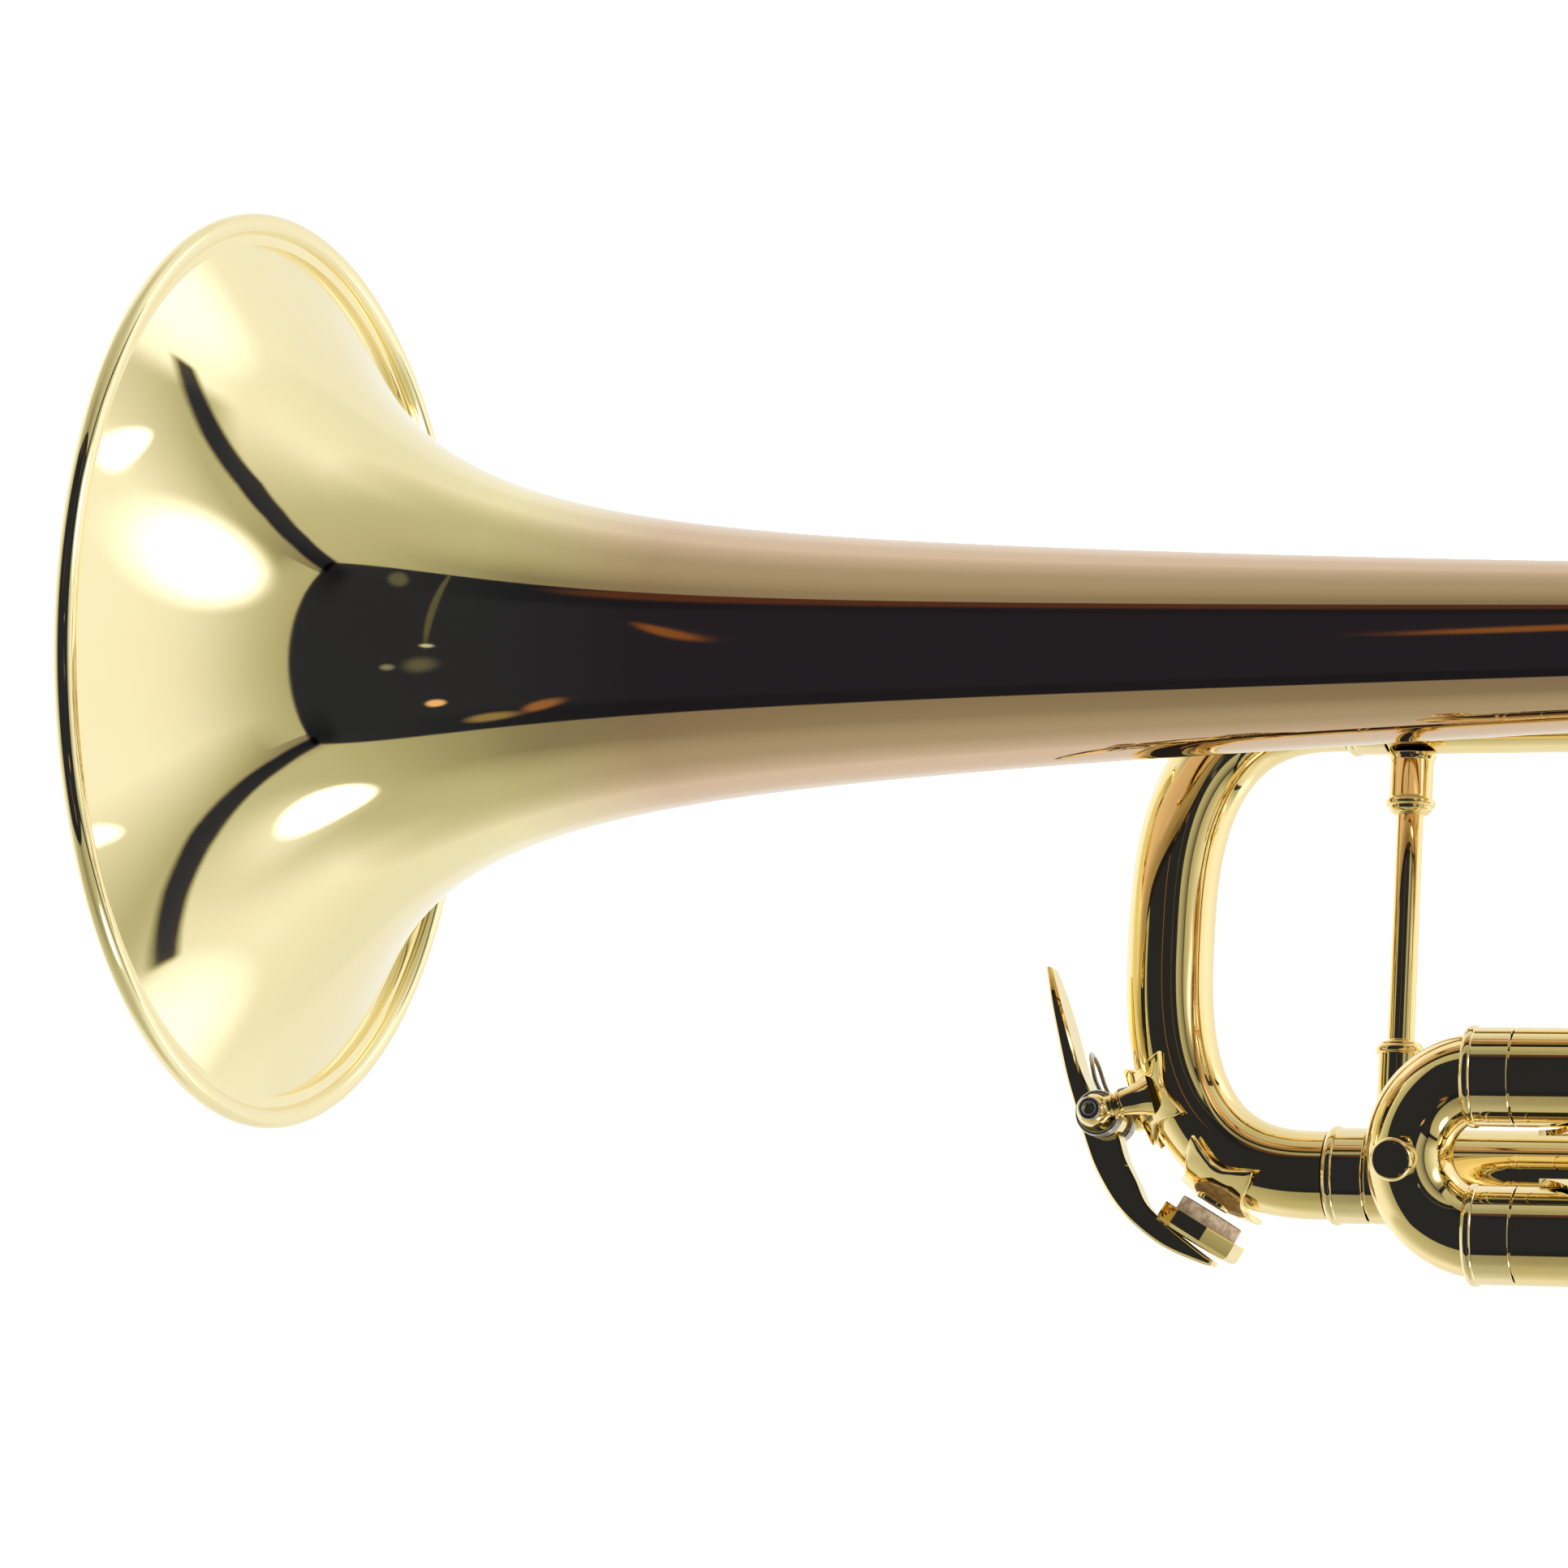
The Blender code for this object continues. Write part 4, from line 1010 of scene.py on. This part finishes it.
def make_diamond_brace(node, waist):
    """A spool between two tubes, on a saddle-shaped diamond at each end."""
    bottom, top = low(node).z, high(node).z
    half = (top - bottom) / 2
    place = middle(node)
    profile = [
        (0.0, half - 0.1), (3.0, half - 0.2), (2.2, half - 0.9), (waist, half - 1.6),
        (waist, 1.6 - half), (2.2, 0.9 - half), (3.0, 0.2 - half), (0.0, 0.1 - half),
    ]
    shapes = [lathe(profile, place, (0, 0, 1), 64, 0.2)]
    for sign in (1, -1):
        shapes.append(saddle_diamond(place + Vector((0, 0, sign * half)), sign, 6.4, 4.2))
    stand_in(node, *shapes)


def saddle_diamond(foot, sign, long, wide):
    """A thin diamond that lies on a tube along X, bent round it; sign is where the tube is."""
    steps = 12
    thick = 0.7
    points, faces = [], []
    clear = OUTER_TUBE + GAP
    axis = foot + Vector((0, 0, sign * clear))
    for radius in (clear, clear + thick):
        for i in range(steps + 1):
            x = long * (2 * i / steps - 1)
            reach = max(wide * (1 - abs(x) / long), 0.25)
            for k in range(steps + 1):
                angle = (2 * k / steps - 1) * reach / OUTER_TUBE
                points.append(axis + Vector((x, radius * math.sin(angle), -sign * radius * math.cos(angle))))
    row = steps + 1
    layer = row * row
    for i in range(steps):
        for k in range(steps):
            a = i * row + k
            quad = (a, a + 1, a + row + 1, a + row)
            faces.append(quad if sign > 0 else quad[::-1])
            quad = tuple(layer + q for q in quad)
            faces.append(quad[::-1] if sign > 0 else quad)
    edge = [k for k in range(row)] + [i * row + steps for i in range(1, row)]
    edge += [steps * row + k for k in range(steps - 1, -1, -1)] + [i * row for i in range(steps - 1, 0, -1)]
    for a, b in zip(edge, edge[1:] + edge[:1]):
        quad = (a, b, layer + b, layer + a)
        faces.append(quad[::-1] if sign > 0 else quad)
    return points, faces


def make_first_slide():
    node = "first_slide"
    seam = high("first_outer_upper").x + GAP
    for name in ("upper", "lower"):
        outer = f"first_outer_{name}"
        stand_in(outer, tube(knuckle(outer, 1, 50), OUTER_TUBE, OUTER_WALL, 96))
    upper = (low("first_outer_upper").z + high("first_outer_upper").z) / 2
    lower = (low("first_outer_lower").z + high("first_outer_lower").z) / 2
    half = (upper - lower) / 2
    bow_x = high(node).x - LEG_TUBE - half
    centre = Vector((bow_x, FIRST_Y, (upper + lower) / 2))
    bend = arc(centre, (0, 0, half), (half, 0, 0), 0, 180, 72)
    ends = [Vector((low(node).x, FIRST_Y, upper)), Vector((low(node).x, FIRST_Y, lower))]
    shapes = [tube([ends[0], *bend, ends[1]], LEG_TUBE, LEG_WALL, 72)]
    for height in (upper, lower):
        profile = ferrule_profile(seam, bow_x - 0.5)
        shapes.append(lathe(profile, (0, FIRST_Y, height), (1, 0, 0), 96))
    stand_in(node, *shapes)


def ferrule_profile(seam, end):
    """The short outer sleeve that ends a bow, with a rolled bead at its far end."""
    return ferrule_bead(end - 0.75) + [
        (OUTER_TUBE, end - 1.5), (OUTER_TUBE, seam + 0.2), (OUTER_TUBE - 0.15, seam),
        (LEG_TUBE - 0.1, seam), (LEG_TUBE - 0.1, end), (OUTER_TUBE - 0.2, end),
    ]


def make_second_slide():
    node = "second_slide"
    for name in ("upper", "lower"):
        outer = f"second_outer_{name}"
        place = middle(outer)
        start, end = low(outer).y, high(outer).y
        r = OUTER_TUBE
        bore = OUTER_TUBE - OUTER_WALL
        profile = [(r - 0.2, end), (r, end - 0.25), (r, start), (bore, start), (bore, end)]
        stand_in(outer, lathe(profile, (place.x, 0, place.z), (0, 1, 0), 96))
    upper, lower = middle("second_outer_upper"), middle("second_outer_lower")
    half = (upper.z - lower.z) / 2
    knob_long = 5.5
    bow_y = high(node).y - knob_long - LEG_TUBE - half
    centre = Vector((upper.x, bow_y, (upper.z + lower.z) / 2))
    bend = arc(centre, (0, 0, half), (0, half, 0), 0, 180, 72)
    ends = [Vector((upper.x, low(node).y, upper.z)), Vector((upper.x, low(node).y, lower.z))]
    shapes = [tube([ends[0], *bend, ends[1]], LEG_TUBE, LEG_WALL, 72)]
    seam = high("second_outer_upper").y + GAP
    for place in (upper, lower):
        shapes.append(lathe(ferrule_profile(seam, bow_y - 0.5), (place.x, 0, place.z), (0, 1, 0), 96))
    profile = knob_profile(LEG_TUBE + knob_long, LEG_TUBE)
    shapes.append(lathe(profile, (upper.x, bow_y + half, (upper.z + lower.z) / 2), (0, 1, 0), 64, 0.08))
    stand_in(node, *shapes)


# ---------------------------------------------------------------------------- hook, saddle, braces

def strip(path, y, half_width, thickness):
    """A bent strip with rounded edges: a path in the XZ plane, spread along Y."""
    rings = []
    count = len(path)
    for i, p in enumerate(path):
        way = (path[min(i + 1, count - 1)] - path[max(i - 1, 0)]).normalized()
        out = Vector((way.z, 0, -way.x))
        from_end = min(i, count - 1 - i, 5) / 5
        taper = math.sqrt(1 - (1 - from_end) ** 2)
        wide = half_width * (0.55 + 0.45 * taper)
        ring = []
        for k in range(24):
            angle = 2 * math.pi * k / 24
            c, s = math.cos(angle), math.sin(angle)
            u = wide * math.copysign(abs(c) ** 0.35, c)
            v = thickness / 2 * math.copysign(abs(s) ** 0.7, s)
            ring.append(p + Vector((0, y + u, 0)) + out * (v + thickness / 2))
        rings.append(ring)
    return loft(rings)


def make_hook_and_saddle():
    node = "finger_hook"
    y = middle(node).y
    radius, thick = 9.0, 1.4
    floor = low(node).z + thick
    bend_x = low(node).x + radius + thick
    path = [Vector((high(node).x - 0.1 * k * 1.2, 0, floor)) for k in range(10)]
    for i in range(61):
        angle = math.radians(-90 - 200 * i / 60)
        path.append(Vector((bend_x + radius * math.cos(angle), 0, floor + radius + radius * math.sin(angle))))
    stand_in(node, strip(evenly(path, 90), y, (high(node).y - low(node).y) / 2, thick))
    node = "first_thumb_saddle"
    y = middle(node).y
    centre = middle(node).x
    inside = 9.5
    floor = low(node).z + thick
    path = [Vector((centre - inside, 0, high(node).z - 0.2 * k)) for k in range(3)]
    for i in range(61):
        angle = math.pi * (1 + i / 60)
        path.append(Vector((centre + inside * math.cos(angle), 0, floor + inside + inside * math.sin(angle))))
    path.append(Vector((centre + inside, 0, high(node).z)))
    stand_in(node, strip(evenly(path, 90), y, (high(node).y - low(node).y) / 2, thick))


def make_bell_braces():
    for node, pipe_radius in (("bell_brace_front", OUTER_TUBE), ("bell_brace_rear", 5.5)):
        x = middle(node).x
        bell, pipe = on_axis("bell_stem", x), on_axis("leadpipe", x)
        way = (pipe - bell).normalized()
        bottom = bell_radius(x - low("bell_flare").x) + 2 * GAP
        top = (pipe - bell).length - pipe_radius - GAP
        flare = ((0.0, 0.0), (3.2, 0.0), (3.2, 0.4), (2.5, 1.0), (1.9, 1.5), (1.7, 2.2))
        profile = [(radius, top - rise) for radius, rise in flare]
        profile += [(radius, bottom + rise) for radius, rise in reversed(flare)]
        stand_in(node, lathe(profile, bell, way, 64, 0.12))


make_bell()
make_bell_bow()
for number in (1, 2, 3):
    make_casing(number)
    make_caps(number)
    make_button_and_spring(number)
make_leadpipe()
make_mouthpiece()
make_tuning_slide()
make_tuning_brace()
make_nipple()
make_posts()
make_pivot()
make_spring()
make_lever()
make_third_slide()
make_first_slide()
make_second_slide()
make_hook_and_saddle()
make_bell_braces()


# ---------------------------------------------------------------------------- kept CAD nodes

def dress_kept_nodes():
    """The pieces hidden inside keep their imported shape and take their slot's finished material."""
    for node, obj in frame["nodes"].items():
        obj.data.materials.clear()
        obj.data.materials.append(LOOKS[SLOT_OF[node]])


dress_kept_nodes()


# ---------------------------------------------------------------------------- studio

FLOOR_HALF = 6.0  # metres


def sheet(name, corners, look):
    """A flat four-cornered sheet that belongs to the stage."""
    data = bpy.data.meshes.new(name)
    data.from_pydata(corners, [], [(0, 1, 2, 3)])
    data.materials.append(look)
    obj = put_in_scene(bpy.data.objects.new(name, data))
    return obj


def make_floor():
    """A white floor that glows a little, so that no shadow shows on it."""
    look = bpy.data.materials.new("studio_floor")
    tree, shader = tree_of(look)
    place = add_node(tree, "ShaderNodeTexCoord").outputs["Object"]
    speckle = noise_of(tree, place, 60.0)
    white = ramp_of(tree, speckle, ((0.0, (0.94, 0.94, 0.94, 1)), (1.0, (0.97, 0.97, 0.97, 1))))
    tree.links.new(white, shader.inputs["Base Color"])
    tree.links.new(white, shader.inputs["Emission Color"])
    shader.inputs["Emission Strength"].default_value = 0.6
    shader.inputs["Roughness"].default_value = 0.9
    half = FLOOR_HALF
    floor_z = min(corner[2] for corner in CAD_BOX) - GAP * MM
    corners = [(x, y, floor_z) for x, y in ((-half, -half), (half, -half), (half, half), (-half, half))]
    floor = sheet("studio_floor", corners, look)
    floor.visible_glossy = False


def smooth_step(tree, value, from_low, from_high, to_low, to_high):
    settings = {
        "interpolation_type": "SMOOTHSTEP", "From Min": from_low, "From Max": from_high,
        "To Min": to_low, "To Max": to_high,
    }
    return add_node(tree, "ShaderNodeMapRange", settings, {"Value": value}).outputs["Result"]


def window(tree, value, start, end, soft):
    """1 where a value lies between start and end, falling to 0 over a soft edge on each side."""
    rising = smooth_step(tree, value, start - soft, start + soft, 0.0, 1.0)
    falling = smooth_step(tree, value, end - soft, end + soft, 1.0, 0.0)
    return maths(tree, "MULTIPLY", rising, falling)


def maths(tree, operation, first, second=None):
    """A maths node's result, for numbers or other nodes' outputs."""
    settings, links = {"operation": operation}, {}
    for place, value in ((0, first), (1, second)):
        if isinstance(value, (int, float)):
            settings[place] = value
        elif value is not None:
            links[place] = value
    return add_node(tree, "ShaderNodeMath", settings, links).outputs[0]


def by_turn(tree, turn, stops, curve="B_SPLINE"):
    """A level that changes with the turn, alike on both sides: stops are (degrees, level)."""
    share = spread(tree, maths(tree, "ABSOLUTE", turn), 0.0, math.pi, 0.0, 1.0)
    greys = [(degrees / 180, (level, level, level, 1)) for degrees, level in stops]
    return add_node(tree, "ShaderNodeSeparateColor", links={0: ramp_of(tree, share, greys, curve)}).outputs[0]


def oval(tree, turn, rise, spot):
    """1 inside an oval patch of the tent, falling smoothly to 0 at its soft edge."""
    centre_turn, centre_rise, half_turn, half_rise, lean, inner, outer = spot
    along = maths(tree, "SUBTRACT", turn, math.radians(centre_turn))
    above = maths(tree, "SUBTRACT", rise, math.radians(centre_rise))
    c, s = math.cos(math.radians(lean)), math.sin(math.radians(lean))
    u = maths(tree, "ADD", maths(tree, "MULTIPLY", along, c), maths(tree, "MULTIPLY", above, s))
    v = maths(tree, "SUBTRACT", maths(tree, "MULTIPLY", above, c), maths(tree, "MULTIPLY", along, s))
    squares = []
    for value, half in ((u, half_turn), (v, half_rise)):
        share = maths(tree, "ABSOLUTE", maths(tree, "DIVIDE", value, math.radians(half)))
        squares.append(maths(tree, "POWER", share, 2.0))
    distance = maths(tree, "SQRT", maths(tree, "ADD", *squares))
    return smooth_step(tree, distance, inner, outer, 1.0, 0.0)


# Turns are degrees from the camera's side (-Y) towards +X, and rises are degrees above the
# horizon. Levels are brightness, 1 being white.
LEVEL_SCALE = 2.0  # the tables of levels hold half of each level
ZENITH_LEVEL = 0.56
ZENITH_FROM = 0.87  # sine of the rise from which the caps turn to the zenith's level
# The walls grow dim between these rises off WALL_MIDDLE, over a part of their turn.
WALL_MIDDLE = 5
WALL_FADE = (19, 31)
WALL_FADE_TURN = (45, 120)
CAP_LEVELS = (
    (0, 0.14), (12, 0.165), (30, 0.22), (50, 0.265), (75, 0.29), (90, 0.33), (105, 0.41), (120, 0.52),
    (135, 0.50), (160, 0.45), (180, 0.45),
)
WALL_LEVELS = (
    (48, 0.22), (56, 0.25), (66, 0.32), (78, 0.46), (90, 0.53), (115, 0.53), (124, 0.62), (148, 0.50),
    (180, 0.46),
)
WALL_RISE = (-30, 42)
OPENING_TURN = (-50.0, 53.0)
OPENING_BOTTOM, OPENING_TOP = -0.90, 1.46  # slopes
OPENING_DEPTH = 0.94
# An oval is its turn and rise, half width and half height, lean, and where its edge starts and ends.
LAMPS = (
    ((80, 23, 11, 6.5, -8, 0.45, 1.9), 2.2),
    ((70, -51, 16, 6.5, 16, 0.75, 1.35), 3.0),
    ((78, -48, 28, 12, 20, 0.2, 1.2), 0.35),
    ((105, 27, 4.0, 1.4, 55, 0.7, 1.3), 2.0),
    ((101, -17, 2.2, 1.2, 45, 0.6, 1.4), 1.5),
    ((136, 34, 14, 9, 0, 0.2, 1.15), 0.6),
    ((132, -31, 14, 9, 0, 0.2, 1.15), 0.6),
)
# A seam is +1 above the horizon or -1 below it, its rise and half width by turn in parts of
# SEAM_SCALE, and its turn from and to.
SEAM_SCALE = math.radians(100)
SEAM_DEPTH = 0.94
SEAMS = (
    (1, ((52, 0.402), (66, 0.425), (80, 0.434), (93, 0.427), (108, 0.397), (124, 0.369)),
     ((52, 0.029), (93, 0.028), (108, 0.021), (124, 0.010)), 51, 124),
    (-1, ((52, 0.280), (65, 0.290), (95, 0.291), (106, 0.298), (119, 0.313)),
     ((52, 0.019), (93, 0.024), (106, 0.018), (119, 0.011)), 51, 118.5),
)
# The dim room beyond the opening: an oval and its colour.
ROOM = (
    ((19, 34, 0.8, 24, 0, 0.7, 1.2), (0.11, 0.11, 0.07)),
    ((20, 0, 4.0, 5.0, 20, 0.2, 1.2), (0.12, 0.12, 0.09)),
    ((18.7, 10.6, 1.6, 1.2, 0, 0.4, 1.2), (0.6, 0.6, 0.5)),
    ((27, -1, 2.0, 1.8, 0, 0.3, 1.2), (0.24, 0.24, 0.18)),
    ((31, 45, 3.2, 4.5, -20, 0.5, 1.2), (0.12, 0.12, 0.09)),
    ((-7, 23, 0.9, 8.0, -6, 0.4, 1.2), (0.32, 0.14, 0.04)),
    ((18, -22, 2.4, 2.4, 0, 0.5, 1.1), (0.95, 0.55, 0.30)),
    ((9, -34, 5.0, 3.0, -10, 0.4, 1.2), (0.30, 0.22, 0.10)),
    ((2, -29, 2.0, 5.0, 20, 0.4, 1.2), (0.35, 0.16, 0.07)),
    ((-14, 52, 14, 4.0, 0, 0.4, 1.2), (0.12, 0.05, 0.03)),
)
RAMP_TOP = 4.0  # the brightest level that the tent reaches
# How the tent's colour shifts with its level: (level, tint).
TENT_TINTS = (
    (0.0, (0.9, 1.0, 1.7)), (0.04, (0.9, 1.0, 1.6)), (0.12, (1.0, 0.85, 0.7)),
    (0.25, (1.0, 0.92, 0.62)), (0.5, (1.0, 0.99, 0.68)), (0.85, (1.0, 1.0, 0.90)),
    (1.1, (1.0, 1.01, 1.02)), (4.0, (1.0, 1.0, 1.0)),
)


def make_tent():
    """A white box tent seen in the metal: its open front, its seams and the lamps behind it."""
    world = bpy.data.worlds.new("studio_tent")
    bpy.context.scene.world = world
    world.use_nodes = True
    tree = world.node_tree
    tree.nodes.clear()
    way = add_node(tree, "ShaderNodeTexCoord").outputs["Generated"]
    parts = add_node(tree, "ShaderNodeSeparateXYZ", links={0: way})
    up = parts.outputs["Z"]
    ahead = maths(tree, "MULTIPLY", parts.outputs["Y"], -1.0)
    turn = maths(tree, "ARCTAN2", parts.outputs["X"], ahead)
    rise = maths(tree, "ARCSINE", up)

    def turned(start, end, soft):
        return window(tree, turn, math.radians(start), math.radians(end), math.radians(soft))

    def blend(first, second, share):
        change = maths(tree, "SUBTRACT", second, first)
        return maths(tree, "ADD", first, maths(tree, "MULTIPLY", share, change))

    to_zenith = spread(tree, maths(tree, "ABSOLUTE", up), ZENITH_FROM, 1.0, 0.0, 1.0)
    caps = maths(tree, "MULTIPLY", by_turn(tree, turn, CAP_LEVELS), LEVEL_SCALE)
    caps = blend(caps, ZENITH_LEVEL, to_zenith)
    off_middle = maths(tree, "ABSOLUTE", maths(tree, "SUBTRACT", rise, math.radians(WALL_MIDDLE)))
    near, far = [math.radians(degrees) for degrees in WALL_FADE]
    fade = spread(tree, off_middle, near, far, LEVEL_SCALE, 0.5 * LEVEL_SCALE)
    fade = blend(LEVEL_SCALE, fade, turned(*WALL_FADE_TURN, 3))
    walls = maths(tree, "MULTIPLY", by_turn(tree, turn, WALL_LEVELS), fade)
    bottom, top = [math.radians(degrees) for degrees in WALL_RISE]
    on_wall = window(tree, rise, bottom, top, math.radians(3))
    light = blend(caps, walls, on_wall)
    for spot, gain in LAMPS:
        lamp = maths(tree, "MULTIPLY", oval(tree, turn, rise, spot), gain)
        light = maths(tree, "ADD", light, lamp)
    dark = []
    for side, middles, halves, turn_from, turn_to in SEAMS:
        line = maths(tree, "MULTIPLY", by_turn(tree, turn, middles, "LINEAR"), side * SEAM_SCALE)
        off_line = maths(tree, "ABSOLUTE", maths(tree, "SUBTRACT", rise, line))
        half = maths(tree, "MULTIPLY", by_turn(tree, turn, halves, "LINEAR"), SEAM_SCALE)
        inside = maths(tree, "SUBTRACT", half, off_line)
        soft = math.radians(0.5)
        line = spread(tree, inside, -soft, soft, 0.0, SEAM_DEPTH)
        dark.append(maths(tree, "MULTIPLY", line, turned(turn_from, turn_to, 0.8)))
    opening = window(tree, maths(tree, "DIVIDE", up, ahead), OPENING_BOTTOM, OPENING_TOP, 0.02)
    opening = maths(tree, "MULTIPLY", opening, turned(*OPENING_TURN, 0.8))
    dark.append(maths(tree, "MULTIPLY", opening, OPENING_DEPTH))
    for mask in dark:
        light = maths(tree, "MULTIPLY", light, maths(tree, "SUBTRACT", 1.0, mask))
    stops = []
    for level, tint in TENT_TINTS:
        stops.append((level / RAMP_TOP, (*[level / RAMP_TOP * part for part in tint], 1)))
    colour = ramp_of(tree, maths(tree, "DIVIDE", light, RAMP_TOP), stops)
    for spot, glow in ROOM:
        patch = maths(tree, "MULTIPLY", oval(tree, turn, rise, spot), opening)
        colour = mixed(tree, patch, colour, (*[part / RAMP_TOP for part in glow], 1))
    seen = add_node(tree, "ShaderNodeLightPath").outputs["Is Camera Ray"]
    colour = mixed(tree, seen, colour, (1.0, 1.0, 1.0, 1))
    background = add_node(tree, "ShaderNodeBackground", {"Strength": RAMP_TOP}, {"Color": colour})
    output = add_node(tree, "ShaderNodeOutputWorld")
    tree.links.new(background.outputs[0], output.inputs["Surface"])


# The card's corners in X and Z, and its place in Y.
CARD_CORNERS = ((0.0, -58.0), (0.0, 352.0), (190.0, 470.0), (190.0, -132.0))
CARD_Y = -250.0
CARD_FADE_END = 0.93  # share of the way across at which it has dissolved into the wall behind
CARD_FADE_RATE = 1.25
CARD_GLOW_NEAR = (0.47, 0.46, 0.31, 1)
CARD_GLOW_FAR = (0.70, 0.70, 0.55, 1)


def make_front_card():
    """The tent's front beside its opening: near enough that each piece sees its edge elsewhere."""
    look = bpy.data.materials.new("tent_front")
    tree, shader = tree_of(look)
    place = add_node(tree, "ShaderNodeTexCoord").outputs["Generated"]
    across = add_node(tree, "ShaderNodeSeparateXYZ", links={0: place}).outputs["X"]
    cloud = noise_of(tree, place, 3.0)
    share = maths(tree, "ADD", across, maths(tree, "MULTIPLY", cloud, 0.06))
    glow = mixed(tree, share, CARD_GLOW_NEAR, CARD_GLOW_FAR)
    tree.links.new(glow, shader.inputs["Emission Color"])
    shader.inputs["Emission Strength"].default_value = 1.0
    shader.inputs["Base Color"].default_value = (0, 0, 0, 1)
    shader.inputs["Specular IOR Level"].default_value = 0.0
    fade = maths(tree, "MULTIPLY", maths(tree, "SUBTRACT", CARD_FADE_END, across), CARD_FADE_RATE)
    fade = maths(tree, "MAXIMUM", maths(tree, "MINIMUM", fade, 1.0), 0.0)
    tree.links.new(fade, shader.inputs["Alpha"])
    corners = [(x * MM, CARD_Y * MM, z * MM) for x, z in CARD_CORNERS]
    card = sheet("tent_front", corners, look)
    card.visible_camera = False
    card.visible_diffuse = False
    card.visible_shadow = False


def make_key_light():
    data = bpy.data.lights.new("key_light", "SUN")
    data.energy = 2.6
    data.angle = math.radians(120)
    lamp = put_in_scene(bpy.data.objects.new("key_light", data))
    lamp.rotation_euler = (math.radians(8), 0, 0)
    lamp.visible_glossy = False


# The camera's place from the centre of the bell's rim, and how it is turned from facing +Y.
CAMERA_FROM_RIM = Vector((299.4, -614.0, -25.8))
CAMERA_YAW = math.radians(20.07)
CAMERA_RISE = math.radians(0.85)
CAMERA_ROLL = math.radians(-0.28)
SENSOR = 36.0
LENS = 113.9


def make_camera():
    data = bpy.data.cameras.new("camera")
    data.sensor_width = SENSOR
    data.lens = LENS
    data.clip_start = 0.01
    camera = put_in_scene(bpy.data.objects.new("camera", data))
    place = (on_axis("bell_flare", low("bell_flare").x) + CAMERA_FROM_RIM) * MM
    aim = Matrix.Rotation(CAMERA_YAW, 4, "Z") @ Matrix.Rotation(math.pi / 2 + CAMERA_RISE, 4, "X")
    camera.matrix_world = Matrix.Translation(place) @ aim @ Matrix.Rotation(CAMERA_ROLL, 4, "Z")
    bpy.context.scene.camera = camera


make_floor()
make_tent()
make_front_card()
make_key_light()
make_camera()
bpy.context.scene.view_settings.view_transform = "Standard"
